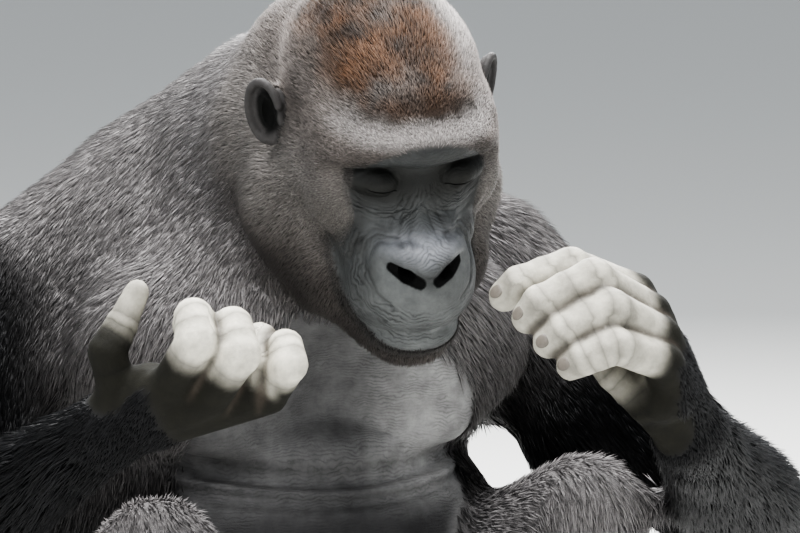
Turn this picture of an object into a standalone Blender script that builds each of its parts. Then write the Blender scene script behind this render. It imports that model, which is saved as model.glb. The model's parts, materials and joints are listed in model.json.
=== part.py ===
"""A seated adult male western lowland gorilla, life size, as a still museum model.

The masses of each region are melted together with a voxel remesh, then parted with thin cuts
where a person would name its parts. Metres, +Z up. The gorilla faces -Y, so its left is +X.
It sits on the floor at Z = 0 with its knees up and its hands raised before its mouth.
"""

import math

import bmesh
import bpy
from mathutils import Matrix, Vector

# Driving places of the body, for the left side where a limb is the same on both.
SIDES = {"left": 1, "right": -1}
EAR_AXIS = Vector((0.0, -0.27, 0.80))  # midpoint between the ear canals
HEAD_TURN = (25, -4, -5)  # degrees of nod, roll and turn: the face looks down at the hands
SHOULDER = Vector((0.245, 0.075, 0.580))
ELBOWS = {"left": Vector((0.440, -0.190, 0.362)), "right": Vector((-0.475, -0.135, 0.365))}
WRISTS = {"left": Vector((0.224, -0.458, 0.517)), "right": Vector((-0.294, -0.343, 0.538))}
HIP = Vector((0.130, 0.060, 0.165))
KNEES = {"left": Vector((0.222, -0.246, 0.404)), "right": Vector((-0.222, -0.268, 0.398))}
ANKLE = Vector((0.200, -0.345, 0.090))
TOES = Vector((0.262, -0.545, 0.030))
NAPE, NAPE_WAY = Vector((0, -0.150, 0.760)), Vector((0, 0.93, -0.36)).normalized()  # the head ends here
COLLAR, COLLAR_WAY = Vector((0, -0.065, 0.732)), Vector((0, -0.65, 0.76))  # and the neck here
WAIST = Vector((0, 0, 0.455))  # in the fold under the chest
FLOOR = 0.0

EYE_RADIUS = 0.0130
EYE_PLACE = Vector((0.0375, -0.1070, -0.0020))  # in the head's own axes, as are the face sizes
EYE_GAP = 0.0006

# Each digit: its joints from the knuckle to the tip, and how thick it is at each.
DIGITS = {
    "left": {
        "index_finger": [
            (0.176, -0.444, 0.645),
            (0.108, -0.451, 0.674),
            (0.061, -0.444, 0.660),
            (0.050, -0.435, 0.649),
        ],
        "middle_finger": [
            (0.179, -0.470, 0.630),
            (0.112, -0.489, 0.668),
            (0.064, -0.482, 0.647),
            (0.055, -0.475, 0.634),
        ],
        "ring_finger": [
            (0.178, -0.494, 0.612),
            (0.118, -0.515, 0.644),
            (0.076, -0.506, 0.624),
            (0.065, -0.497, 0.614),
        ],
        "little_finger": [
            (0.171, -0.516, 0.592),
            (0.114, -0.535, 0.613),
            (0.085, -0.526, 0.602),
            (0.077, -0.518, 0.595),
        ],
        "thumb": [
            (0.200, -0.470, 0.524),
            (0.172, -0.478, 0.548),
            (0.141, -0.474, 0.576),
            (0.123, -0.463, 0.596),
        ],
    },
    "right": {
        "index_finger": [
            (-0.259, -0.398, 0.583),
            (-0.249, -0.431, 0.626),
            (-0.244, -0.412, 0.644),
            (-0.236, -0.381, 0.631),
        ],
        "middle_finger": [
            (-0.228, -0.405, 0.571),
            (-0.212, -0.442, 0.613),
            (-0.210, -0.421, 0.635),
            (-0.205, -0.388, 0.624),
        ],
        "ring_finger": [
            (-0.197, -0.401, 0.566),
            (-0.178, -0.413, 0.597),
            (-0.173, -0.394, 0.615),
            (-0.167, -0.362, 0.604),
        ],
        "little_finger": [
            (-0.170, -0.407, 0.569),
            (-0.165, -0.443, 0.601),
            (-0.162, -0.428, 0.615),
            (-0.155, -0.396, 0.605),
        ],
        "thumb": [
            (-0.294, -0.356, 0.572),
            (-0.305, -0.357, 0.609),
            (-0.290, -0.354, 0.632),
            (-0.274, -0.352, 0.661),
        ],
    },
}
DIGIT_RADII = {
    "index_finger": (0.0205, 0.0202, 0.0192, 0.0165),
    "middle_finger": (0.0210, 0.0208, 0.0196, 0.0170),
    "ring_finger": (0.0205, 0.0202, 0.0190, 0.0165),
    "little_finger": (0.0190, 0.0185, 0.0172, 0.0150),
    "thumb": (0.0205, 0.0190, 0.0165, 0.0125),
}
FINGER_CUT = 0.30  # where a digit parts from the hand, as a share of its first bone

# How finely each region is melted, smoothed and faceted.
TRUNK_VOXEL, LIMB_VOXEL, HEAD_VOXEL, HAND_VOXEL = 0.0065, 0.0050, 0.0026, 0.0018
TRUNK_TRIANGLES, ARM_TRIANGLES, LEG_TRIANGLES, FOOT_TRIANGLES, TOE_TRIANGLES = 1160, 300, 280, 160, 38
HEAD_TRIANGLES, EAR_TRIANGLES, HAND_TRIANGLES, DIGIT_TRIANGLES = 1850, 150, 230, 100
CUT = 0.0010  # width of the thin cuts between the parts
TOUCH = 0.0015  # room between a part and one that is laid against it

# Colour in linear light and roughness of each finish.
FINISHES = {
    "dark coat": ((0.020, 0.018, 0.018), 0.75),
    "bare skin": ((0.085, 0.078, 0.072), 0.50),
    "wet eye": ((0.030, 0.016, 0.010), 0.10),
}

HEAD = (
    Matrix.Translation(EAR_AXIS)
    @ Matrix.Rotation(math.radians(HEAD_TURN[2]), 4, "Z")
    @ Matrix.Rotation(math.radians(HEAD_TURN[1]), 4, "Y")
    @ Matrix.Rotation(math.radians(HEAD_TURN[0]), 4, "X")
)


def across(point, side):
    """A point of the left side, or its mirror image on the right."""
    return Vector((point[0] * side, point[1], point[2]))


def ball(bm, centre, radii, turn=(0, 0, 0), frame=Matrix.Identity(4), detail=4):
    """An ellipsoid. turn is in degrees about X, then Y, then Z."""
    radii = (radii,) * 3 if isinstance(radii, float) else radii
    spin = Matrix.Identity(4)
    for angle, axis in zip(turn, "XYZ"):
        spin = Matrix.Rotation(math.radians(angle), 4, axis) @ spin
    shape = frame @ Matrix.Translation(centre) @ spin @ Matrix.Diagonal((*radii, 1))
    bmesh.ops.create_icosphere(bm, subdivisions=detail, radius=1, matrix=shape)


def pair(bm, centre, radii, turn=(0, 0, 0), frame=Matrix.Identity(4)):
    """The same ellipsoid on both sides of the middle plane."""
    for side in SIDES.values():
        ball(bm, across(centre, side), radii, (turn[0], turn[1] * side, turn[2] * side), frame)


def chain(bm, points, radii, frame=Matrix.Identity(4)):
    """Cones with round ends from point to point, as along a limb or a ridge."""
    points = [frame @ Vector(p) for p in points]
    for point, radius in zip(points, radii):
        ball(bm, point, float(radius), detail=3)
    for i in range(len(points) - 1):
        along = points[i + 1] - points[i]
        turn = along.to_track_quat("Z", "Y").to_matrix().to_4x4()
        place = Matrix.Translation((points[i] + points[i + 1]) / 2) @ turn
        bmesh.ops.create_cone(
            bm,
            cap_ends=True,
            segments=24,
            radius1=radii[i],
            radius2=radii[i + 1],
            depth=along.length,
            matrix=place,
        )


def object_of(name, bm):
    bmesh.ops.triangulate(bm, faces=bm.faces[:])
    mesh = bpy.data.meshes.new(name)
    bm.to_mesh(mesh)
    bm.free()
    made = bpy.data.objects.new(name, mesh)
    bpy.context.scene.collection.objects.link(made)
    return made


def settled(item):
    """Applies the object's modifiers."""
    bpy.context.view_layer.update()
    graph = bpy.context.evaluated_depsgraph_get()
    mesh = bpy.data.meshes.new_from_object(item.evaluated_get(graph), depsgraph=graph)
    item.modifiers.clear()
    item.data = mesh
    return item


def melted(item, voxel, smoothing):
    """Joins everything in the object into one surface, and smooths it."""
    remesh = item.modifiers.new("melt", "REMESH")
    remesh.mode = "VOXEL"
    remesh.voxel_size = voxel
    smooth = item.modifiers.new("smooth", "SMOOTH")
    smooth.iterations = smoothing
    return settled(item)


def faceted(item, triangles):
    """Brings the object down to about this many triangles."""
    count = sum(len(p.vertices) - 2 for p in item.data.polygons)
    decimate = item.modifiers.new("facet", "DECIMATE")
    decimate.ratio = min(1.0, triangles / count)
    return settled(item)


def carved(item, cutters, crossed=False):
    """Takes each cutter out of the object, and removes the cutter. A crossed one cuts through itself."""
    for cutter in cutters:
        cut = item.modifiers.new("carve", "BOOLEAN")
        cut.operation = "DIFFERENCE"
        cut.solver = "EXACT"
        cut.use_self = crossed
        cut.object = cutter
    settled(item)
    for cutter in cutters:
        bpy.data.objects.remove(cutter)
    return item


def swollen(item, gap):
    """A copy that stands out from the object by the gap, to carve its room from another."""
    copy = item.copy()
    bpy.context.scene.collection.objects.link(copy)
    swell = copy.modifiers.new("swell", "DISPLACE")
    swell.mid_level = 0
    swell.strength = gap
    return settled(copy)


def clipped(item, point, normal):
    """Removes what lies beyond a plane, on the side its normal points to, and closes the end."""
    bm = bmesh.new()
    bm.from_mesh(item.data)
    geometry = bm.verts[:] + bm.edges[:] + bm.faces[:]
    made = bmesh.ops.bisect_plane(
        bm, geom=geometry, plane_co=point, plane_no=normal, clear_outer=True, dist=1e-5
    )
    rim = [e for e in made["geom_cut"] if isinstance(e, bmesh.types.BMEdge) and e.is_boundary]
    if rim:
        bmesh.ops.holes_fill(bm, edges=rim)
    bmesh.ops.triangulate(bm, faces=bm.faces[:])
    bmesh.ops.recalc_face_normals(bm, faces=bm.faces[:])
    bm.to_mesh(item.data)
    bm.free()
    return item


def block(point, normal, half_width, depth):
    """A square block that begins CUT / 2 short of a plane and runs out along its normal."""
    normal = Vector(normal).normalized()
    turn = normal.to_track_quat("Z", "Y").to_matrix().to_4x4()
    size = Matrix.Diagonal((2 * half_width, 2 * half_width, depth, 1))
    middle = Matrix.Translation(Vector(point) + normal * (depth - CUT) / 2)
    bm = bmesh.new()
    bmesh.ops.create_cube(bm, size=1, matrix=middle @ turn @ size)
    return object_of("block", bm)


def split(item, point, normal, names):
    """Parts the object along a plane by a thin cut. The second name lies where the normal points."""
    far = item.copy()
    far.data = item.data.copy()
    bpy.context.scene.collection.objects.link(far)
    normal = Vector(normal).normalized()
    clipped(item, Vector(point) - normal * CUT / 2, normal)
    clipped(far, Vector(point) + normal * CUT / 2, -normal)
    item.name, far.name = names
    return item, far


def add_trunk(bm):
    """Rib cage, hunched upper back, chest muscles, belly and pelvis."""
    ball(bm, (0, 0.060, 0.550), (0.250, 0.200, 0.240))
    ball(bm, (0, 0.065, 0.640), (0.215, 0.145, 0.160))
    ball(bm, (0, -0.010, 0.330), (0.238, 0.205, 0.205))
    ball(bm, (0, 0.100, 0.300), (0.210, 0.160, 0.230))
    ball(bm, (0, 0.085, 0.157), (0.205, 0.170, 0.165))
    pair(bm, (0.110, -0.085, 0.560), (0.130, 0.100, 0.108), (-12, 0, 0))
    pair(bm, (0.110, 0.110, 0.102), (0.120, 0.125, 0.110))
    pair(bm, (0.178, 0.120, 0.500), (0.080, 0.120, 0.185), (0, -8, 0))
    for side in SIDES.values():
        chain(bm, [(0.03 * side, 0.045, 0.705), (0.215 * side, 0.080, 0.612)], [0.110, 0.078])


def add_neck(bm):
    """The massive neck, from the back of the skull to the hump."""
    chain(bm, [(0, -0.190, 0.775), (0, 0.010, 0.705)], [0.110, 0.135])
    chain(bm, [(0, -0.180, 0.840), (0, 0.030, 0.745)], [0.085, 0.095])
    chain(bm, [(0, -0.235, 0.705), (0, -0.080, 0.650)], [0.080, 0.105])


def add_skull(bm):
    """Brain case with its crest, temples, jowls and muzzle."""
    ball(bm, (0, 0.005, 0.032), (0.095, 0.125, 0.099), frame=HEAD)
    ball(bm, (0, 0.022, 0.082), (0.056, 0.098, 0.064), frame=HEAD)
    ball(bm, (0, -0.058, 0.046), (0.080, 0.052, 0.048), frame=HEAD)
    pair(bm, (0.056, -0.012, -0.030), (0.046, 0.076, 0.080), frame=HEAD)
    pair(bm, (0.080, 0.006, -0.092), (0.050, 0.062, 0.066), (0, 8, 0), frame=HEAD)
    pair(bm, (0.060, -0.040, -0.128), (0.044, 0.062, 0.054), frame=HEAD)
    pair(bm, (0.062, -0.066, -0.024), (0.036, 0.040, 0.052), frame=HEAD)
    ball(bm, (0, -0.078, -0.030), (0.068, 0.046, 0.075), frame=HEAD)
    pair(bm, (0.036, -0.080, -0.066), (0.036, 0.040, 0.046), frame=HEAD)
    ball(bm, (0, -0.076, 0.060), (0.066, 0.036, 0.030), frame=HEAD)
    ball(bm, (0, -0.104, -0.108), (0.064, 0.064, 0.060), frame=HEAD)
    for side in SIDES.values():
        chain(bm, [(0.060 * side, -0.015, -0.128), (0.020 * side, -0.106, -0.156)], [0.045, 0.036], HEAD)


def add_face(bm):
    """Brow ridge, nose, lips, cheeks and chin."""
    half_brow = [(0.078, -0.068, 0.022), (0.062, -0.098, 0.034), (0.034, -0.116, 0.043)]
    brow = half_brow + [(0, -0.115, 0.042)] + [across(p, -1) for p in reversed(half_brow)]
    chain(bm, brow, [0.0180, 0.0185, 0.0182, 0.0170, 0.0182, 0.0185, 0.0180], HEAD)
    chain(bm, [(0, -0.100, 0.022), (0, -0.112, -0.045)], [0.0150, 0.0210], HEAD)
    ball(bm, (0, -0.142, -0.070), (0.030, 0.023, 0.024), frame=HEAD)
    pair(bm, (0.026, -0.136, -0.082), (0.0215, 0.0220, 0.0260), frame=HEAD)
    pair(bm, (0.040, -0.094, -0.032), (0.026, 0.020, 0.016), (0, 0, -18), frame=HEAD)
    ball(bm, (0, -0.128, -0.116), (0.050, 0.043, 0.030), frame=HEAD)
    pair(bm, (0.032, -0.118, -0.112), (0.034, 0.042, 0.034), frame=HEAD)
    ball(bm, (0, -0.124, -0.150), (0.044, 0.040, 0.021), frame=HEAD)
    ball(bm, (0, -0.112, -0.168), (0.040, 0.040, 0.027), frame=HEAD)


def face_cutters():
    """What is carved from the face: eye hollows, nostrils and the line of the mouth."""
    made = []
    for side in SIDES.values():
        for centre, radii, turn in (
            ((0.0380, -0.1330, -0.0030), (0.0270, 0.0230, 0.0155), (8, 0, -14)),
            ((0.0175, -0.1610, -0.0800), (0.0125, 0.0180, 0.0062), (-12, -26, 18)),
        ):
            bm = bmesh.new()
            ball(bm, across(centre, side), radii, (turn[0], turn[1] * side, turn[2] * side), HEAD, 3)
            made.append(object_of("hollow", bm))
    bm = bmesh.new()
    angles = [math.radians(-64 + 16 * step) for step in range(9)]
    ring = [
        (0.050 * math.sin(a), -0.116 - 0.054 * math.cos(a), -0.136 - 0.012 * (1 - math.cos(a)))
        for a in angles
    ]
    chain(bm, ring, [0.0030] * len(ring), HEAD)
    made.append(melted(object_of("mouth", bm), 0.0010, 2))
    return made


def ear(name, side):
    """The rim, the bowl and the lobe of an ear that stands off the side of the head."""
    root = Matrix.Translation((0.105 * side, 0.004, 0.012))
    frame = HEAD @ root @ Matrix.Rotation(math.radians(-12), 4, "X")
    rim, radii = [], []
    for step in range(10):
        angle = math.radians(-75 + 30 * step)
        flare = 0.001 + 0.007 * max(0.0, math.sin(angle / 2 + 0.5)) ** 2
        rim.append((flare * side, 0.0165 * math.cos(angle) + 0.002, 0.0285 * math.sin(angle)))
        radii.append(0.0042)
    bm = bmesh.new()
    chain(bm, rim, radii, frame)
    ball(bm, (-0.004 * side, 0.001, 0), (0.0110, 0.0175, 0.0285), frame=frame)
    ball(bm, (0.004 * side, -0.003, -0.0265), (0.0065, 0.0095, 0.0080), frame=frame)
    made = melted(object_of(name, bm), 0.0014, 4)
    bowl = bmesh.new()
    ball(bowl, (0.0095 * side, 0.001, 0.003), (0.0095, 0.0110, 0.0190), frame=frame, detail=3)
    return faceted(carved(made, [object_of("bowl", bowl)]), EAR_TRIANGLES)


def arm(side_name, trunk):
    """Deltoid, upper arm and forearm, down to the wrist."""
    side, elbow, wrist = SIDES[side_name], ELBOWS[side_name], WRISTS[side_name]
    shoulder = across(SHOULDER, side)
    bm = bmesh.new()
    chain(bm, [shoulder, shoulder.lerp(elbow, 0.5), elbow], [0.110, 0.088, 0.066])
    ball(bm, shoulder.lerp(elbow, 0.28) + Vector((0.015 * side, 0, 0.005)), (0.095, 0.105, 0.100))
    ball(bm, shoulder.lerp(elbow, 0.45) + Vector((-0.010 * side, -0.010, -0.022)), 0.088)
    chain(bm, [elbow, elbow.lerp(wrist, 0.35), elbow.lerp(wrist, 1.04)], [0.064, 0.070, 0.042])
    made = faceted(melted(object_of("arm", bm), LIMB_VOXEL, 10), ARM_TRIANGLES)
    carved(made, [swollen(trunk, TOUCH), swollen(trunk, TOUCH / 4)], crossed=True)
    clipped(made, elbow.lerp(wrist, 0.92) - (wrist - elbow).normalized() * CUT / 2, wrist - elbow)
    fold = (wrist - elbow).normalized() - (shoulder - elbow).normalized()
    return split(made, elbow, fold, (f"upper_arm_{side_name}", f"forearm_{side_name}"))


def hand(side_name):
    """The palm and the roots of its digits, then each digit, trimmed where they meet."""
    elbow, wrist, digits = ELBOWS[side_name], WRISTS[side_name], DIGITS[side_name]
    bm = bmesh.new()
    chain(bm, [elbow.lerp(wrist, 0.6), wrist], [0.056, 0.041])
    trims, fingers = [], []
    for name, joints in digits.items():
        joints = [Vector(p) for p in joints]
        radii = DIGIT_RADII[name]
        root = joints[0].lerp(joints[1], FINGER_CUT)
        chain(bm, [wrist.lerp(joints[0], 0.2), joints[0], root], [0.028, radii[0] * 1.04, radii[0]])
        trims.append(block(root, joints[1] - joints[0], radii[0] * 1.25, 0.06))
        own = bmesh.new()
        chain(own, joints, radii)
        ball(own, joints[1], radii[1] * 1.06)
        finger = faceted(melted(object_of(f"{name}_{side_name}", own), HAND_VOXEL, 3), DIGIT_TRIANGLES)
        bone = (joints[1] - joints[0]).normalized()
        fingers.append(clipped(finger, root + bone * CUT / 2, -bone))
    index, little = (Vector(digits[n][0]) for n in ("index_finger", "little_finger"))
    tips = (Vector(digits["middle_finger"][3]) + Vector(digits["ring_finger"][3])) / 2
    inward = (tips - (index + little) / 2).normalized() * 0.012
    chain(bm, [wrist.lerp(index, 0.55) + inward, wrist.lerp(little, 0.55) + inward], [0.029, 0.029])
    palm = faceted(melted(object_of(f"hand_{side_name}", bm), HAND_VOXEL, 8), HAND_TRIANGLES)
    clipped(palm, elbow.lerp(wrist, 0.92) + (wrist - elbow).normalized() * CUT / 2, elbow - wrist)
    carved(palm, trims)
    for first, second in zip(fingers[:3], fingers[1:4]):
        part_neighbours(first, second)
    for finger in fingers[:4]:
        part_neighbours(finger, fingers[4])
    return [palm, *fingers]


def part_neighbours(first, second):
    """Clips two digits that touch along the plane midway between them."""
    ends = []
    for item in (first, second):
        points = [v.co for v in item.data.vertices]
        ends.append(points)
    nearest = min(
        ((a - b).length, i, j)
        for i, a in enumerate(ends[0][::2])
        for j, b in enumerate(ends[1][::2])
    )
    if nearest[0] > 0.009:
        return
    middles = [sum(points, Vector()) / len(points) for points in ends]
    normal = (middles[1] - middles[0]).normalized()
    point = (ends[0][::2][nearest[1]] + ends[1][::2][nearest[2]]) / 2
    clipped(first, point - normal * CUT / 2, normal)
    clipped(second, point + normal * CUT / 2, -normal)


def leg(side_name, trunk):
    """Thigh, knee and shin, down to the ankle."""
    side, knee = SIDES[side_name], KNEES[side_name]
    hip, ankle = across(HIP, side), across(ANKLE, side)
    bm = bmesh.new()
    chain(bm, [hip, hip.lerp(knee, 0.5), knee], [0.122, 0.106, 0.070])
    chain(bm, [knee, knee.lerp(ankle, 0.4), ankle], [0.066, 0.060, 0.044])
    made = faceted(melted(object_of("leg", bm), LIMB_VOXEL, 8), LEG_TRIANGLES)
    carved(made, [swollen(trunk, TOUCH), swollen(trunk, TOUCH / 4)], crossed=True)
    clipped(made, knee.lerp(ankle, 0.84) - (ankle - knee).normalized() * CUT / 2, ankle - knee)
    fold = (ankle - knee).normalized() - (hip - knee).normalized()
    return split(made, knee, fold, (f"thigh_{side_name}", f"shin_{side_name}"))


def foot(side_name):
    """The block of the foot with the roots of its toes, then each toe."""
    side, knee = SIDES[side_name], KNEES[side_name]
    ankle, toes = across(ANKLE, side), across(TOES, side)
    along = Vector((toes.x - ankle.x, toes.y - ankle.y, 0)).normalized()
    outward = Vector((-along.y, along.x, 0)) * side
    root = ankle.lerp(toes, 0.62)
    root.z = 0.030
    bm = bmesh.new()
    chain(bm, [knee.lerp(ankle, 0.7), ankle], [0.050, 0.044])
    heel = ankle - along * 0.055 - outward * 0.004 + Vector((0, 0, -0.044))
    chain(bm, [heel, root], [0.052, 0.036])
    chain(bm, [ankle, root], [0.044, 0.034])
    chain(bm, [root - outward * 0.032, root + outward * 0.034 - along * 0.01], [0.033, 0.030])
    rows = [("big_toe", -0.047, -0.045, 0.086, -0.050, 0.0245)]
    rows += [
        (f"toe_{n + 2}", -0.026 + 0.0245 * n, 0.006 - 0.007 * n, 0.074 - 0.007 * n, 0.004 * n, 0.0160)
        for n in range(4)
    ]
    trims, made = [], []
    for name, sideways, ahead, length, spread, radius in rows:
        start = root + outward * sideways + along * ahead
        start.z = radius * 1.1
        end = start + along * length + outward * spread
        end.z = radius * 0.72
        bend = start.lerp(end, 0.5) + Vector((0, 0, 0.006))
        cut = start.lerp(bend, 0.55)
        chain(bm, [start - along * 0.02, start, cut], [radius, radius * 1.05, radius])
        trims.append(block(cut, bend - start, radius * 1.3, 0.04))
        own = bmesh.new()
        chain(own, [start, bend, end], [radius, radius * 0.92, radius * 0.80])
        toe = faceted(melted(object_of(f"{name}_{side_name}", own), 0.0022, 3), TOE_TRIANGLES)
        way = (bend - start).normalized()
        clipped(toe, cut + way * CUT / 2, -way)
        made.append(clipped(toe, (0, 0, FLOOR), (0, 0, -1)))
    sole = faceted(melted(object_of(f"foot_{side_name}", bm), 0.0030, 8), FOOT_TRIANGLES)
    clipped(sole, knee.lerp(ankle, 0.84) + (ankle - knee).normalized() * CUT / 2, knee - ankle)
    carved(sole, trims)
    clipped(sole, (0, 0, FLOOR), (0, 0, -1))
    for first, second in zip(made[1:], made[2:]):
        part_neighbours(first, second)
    part_neighbours(made[0], made[1])
    return [sole, *made]


def finish(stand):
    """Gives each part its material, shades it smooth and stands the whole on its own middle."""
    made = {}
    for name, (colour, roughness) in FINISHES.items():
        material = bpy.data.materials.new(name)
        material.use_nodes = True
        shader = material.node_tree.nodes["Principled BSDF"]
        shader.inputs["Base Color"].default_value = (*colour, 1)
        shader.inputs["Roughness"].default_value = roughness
        made[name] = material
    parts = [item for item in bpy.data.objects if item.type == "MESH"]
    low, high = Vector((9, 9, 9)), Vector((-9, -9, -9))
    for item in parts:
        words = item.name.split("_")
        if words[0] == "eye":
            finish_name = "wet eye"
        elif words[0] in ("ear", "hand", "thumb", "foot", "toe", "big") or "finger" in words:
            finish_name = "bare skin"
        else:
            finish_name = "dark coat"
        item.data.materials.clear()
        item.data.materials.append(made[finish_name])
        item.data.shade_smooth()
        item.data.set_sharp_from_angle(angle=math.radians(50))
        for vertex in item.data.vertices:
            low = Vector(map(min, low, vertex.co))
            high = Vector(map(max, high, vertex.co))
        item.parent = stand
    stand.location = (-(low.x + high.x) / 2, -(low.y + high.y) / 2, 0)


for old in list(bpy.data.objects):
    bpy.data.objects.remove(old)

bm = bmesh.new()
add_trunk(bm)
add_neck(bm)
trunk = faceted(melted(object_of("trunk", bm), TRUNK_VOXEL, 12), TRUNK_TRIANGLES)
clipped(trunk, (0, 0, FLOOR), (0, 0, -1))

bm = bmesh.new()
add_skull(bm)
add_neck(bm)
rough_head = melted(object_of("rough_head", bm), 0.0045, 12)
bm = bmesh.new()
bm.from_mesh(rough_head.data)
bpy.data.objects.remove(rough_head)
add_face(bm)
head = melted(object_of("head", bm), HEAD_VOXEL, 6)
head = melted(carved(head, face_cutters()), HEAD_VOXEL, 2)
head = faceted(head, HEAD_TRIANGLES)
clipped(head, NAPE - NAPE_WAY * CUT / 2, NAPE_WAY)

eyes = []
for side_name, side in SIDES.items():
    for name, radius in (("socket", EYE_RADIUS + EYE_GAP), (f"eye_{side_name}", EYE_RADIUS)):
        bm = bmesh.new()
        ball(bm, across(EYE_PLACE, side), radius, frame=HEAD, detail=2)
        eyes.append(object_of(name, bm))
carved(head, [eyes[0], eyes[2]])
for side_name, side in SIDES.items():
    carved(ear(f"ear_{side_name}", side), [swollen(head, TOUCH)], crossed=True)
    arm(side_name, trunk)
    hand(side_name)
    leg(side_name, trunk)
    foot(side_name)
clipped(trunk, NAPE + NAPE_WAY * CUT / 2, -NAPE_WAY)
trunk, neck = split(trunk, COLLAR, COLLAR_WAY, ("trunk", "neck"))
split(trunk, WAIST, (0, 0, 1), ("belly", "chest"))

stand = bpy.data.objects.new("gorilla", None)
bpy.context.scene.collection.objects.link(stand)
finish(stand)
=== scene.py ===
import math

import bmesh
import bpy
import numpy as np
from mathutils import Matrix, Vector, noise
from mathutils.bvhtree import BVHTree
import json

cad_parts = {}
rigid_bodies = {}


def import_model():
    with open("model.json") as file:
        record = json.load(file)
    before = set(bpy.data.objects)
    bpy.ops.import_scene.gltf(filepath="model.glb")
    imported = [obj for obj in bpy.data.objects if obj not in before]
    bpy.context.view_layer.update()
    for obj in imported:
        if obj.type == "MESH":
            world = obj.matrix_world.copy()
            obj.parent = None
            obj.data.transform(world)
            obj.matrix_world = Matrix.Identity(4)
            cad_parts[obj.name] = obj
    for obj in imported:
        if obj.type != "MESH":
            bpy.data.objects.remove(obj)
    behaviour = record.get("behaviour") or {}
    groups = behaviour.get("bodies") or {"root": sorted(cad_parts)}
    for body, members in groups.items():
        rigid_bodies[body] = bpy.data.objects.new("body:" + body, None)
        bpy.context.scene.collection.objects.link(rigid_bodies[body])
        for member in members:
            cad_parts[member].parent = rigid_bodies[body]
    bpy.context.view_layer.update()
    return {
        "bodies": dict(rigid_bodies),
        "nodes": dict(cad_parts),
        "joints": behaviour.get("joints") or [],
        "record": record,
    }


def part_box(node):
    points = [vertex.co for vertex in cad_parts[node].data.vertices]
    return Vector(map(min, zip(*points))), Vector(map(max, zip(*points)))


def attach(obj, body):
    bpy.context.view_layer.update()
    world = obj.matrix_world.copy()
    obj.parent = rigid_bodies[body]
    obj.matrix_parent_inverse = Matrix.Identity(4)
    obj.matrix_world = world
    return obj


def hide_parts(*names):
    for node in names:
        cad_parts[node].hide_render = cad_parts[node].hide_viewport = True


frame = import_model()
scene = bpy.context.scene
sides = {"left": 1, "right": -1}
fleshNodes = [name for name in frame["nodes"] if not name.startswith("eye")]
handNodes = [name for name in fleshNodes if name.startswith(("hand", "thumb")) or "finger" in name]
headNodes = ["head", "ear_left", "ear_right"]


# Places on the animal. The head has its own axes: x to its left, -y out of the face, z to its crown.
body = {
    "headTurn": (25, -4, -5),  # nod, roll and turn, in degrees
    "eyePlace": (0.0375, -0.1070, -0.0020),
    "earAxis": (0, -0.27, 0.80),  # as the sizes below, in the part's own frame
    "shoulder": (0.245, 0.075, 0.580),
    "elbow": {"left": (0.440, -0.190, 0.362), "right": (-0.475, -0.135, 0.365)},
    "wrist": {"left": (0.224, -0.458, 0.517), "right": (-0.294, -0.343, 0.538)},
    "hip": (0.130, 0.060, 0.165),
    "knee": {"left": (0.222, -0.246, 0.404), "right": (-0.222, -0.268, 0.398)},
    "ankle": (0.200, -0.345, 0.090),
}
digits = {  # the joints of each digit, from the knuckle to the tip
    "left": {
        "index": [(0.176, -0.444, 0.645), (0.108, -0.451, 0.674),
                  (0.061, -0.444, 0.660), (0.050, -0.435, 0.649)],
        "middle": [(0.179, -0.470, 0.630), (0.112, -0.489, 0.668),
                   (0.064, -0.482, 0.647), (0.055, -0.475, 0.634)],
        "ring": [(0.178, -0.494, 0.612), (0.118, -0.515, 0.644),
                 (0.076, -0.506, 0.624), (0.065, -0.497, 0.614)],
        "little": [(0.171, -0.516, 0.592), (0.114, -0.535, 0.613),
                   (0.085, -0.526, 0.602), (0.077, -0.518, 0.595)],
        "thumb": [(0.200, -0.470, 0.524), (0.172, -0.478, 0.548),
                  (0.141, -0.474, 0.576), (0.123, -0.463, 0.596)],
    },
    "right": {
        "index": [(-0.259, -0.398, 0.583), (-0.249, -0.431, 0.626),
                  (-0.244, -0.412, 0.644), (-0.236, -0.381, 0.631)],
        "middle": [(-0.228, -0.405, 0.571), (-0.212, -0.442, 0.613),
                   (-0.210, -0.421, 0.635), (-0.205, -0.388, 0.624)],
        "ring": [(-0.197, -0.401, 0.566), (-0.178, -0.413, 0.597),
                 (-0.173, -0.394, 0.615), (-0.167, -0.362, 0.604)],
        "little": [(-0.170, -0.407, 0.569), (-0.165, -0.443, 0.601),
                   (-0.162, -0.428, 0.615), (-0.155, -0.396, 0.605)],
        "thumb": [(-0.294, -0.356, 0.572), (-0.305, -0.357, 0.609),
                  (-0.290, -0.354, 0.632), (-0.274, -0.352, 0.661)],
    },
}
digitRadii = {
    "index": (0.0205, 0.0202, 0.0192, 0.0165),
    "middle": (0.0210, 0.0208, 0.0196, 0.0170),
    "ring": (0.0205, 0.0202, 0.0190, 0.0165),
    "little": (0.0190, 0.0185, 0.0172, 0.0150),
    "thumb": (0.0205, 0.0190, 0.0165, 0.0125),
}


def middleOf(node):
    low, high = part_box(node)
    return (Vector(low) + Vector(high)) / 2


headSpin = Matrix.Identity(3)
for angle, axis in zip(body["headTurn"], "XYZ"):
    headSpin = Matrix.Rotation(math.radians(angle), 3, axis) @ headSpin
eyeMean = Vector((0, *body["eyePlace"][1:]))
headPlace = (middleOf("eye_left") + middleOf("eye_right")) / 2 - headSpin @ eyeMean
headFrame = Matrix.Translation(headPlace) @ headSpin.to_4x4()
shift = headPlace - Vector(body["earAxis"])


def across(point, side):
    return Vector((point[0] * side, point[1], point[2]))


def placed(point, side=1):
    return across(point, side) + shift


def inBody(points):
    return points - np.array(shift)


def inHead(points):
    return (points - np.array(headPlace)) @ np.array(headSpin)


def unit(vectors):
    vectors = np.asarray(vectors, np.float64)
    return vectors / np.maximum(np.linalg.norm(vectors, axis=-1, keepdims=True), 1e-9)


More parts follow.
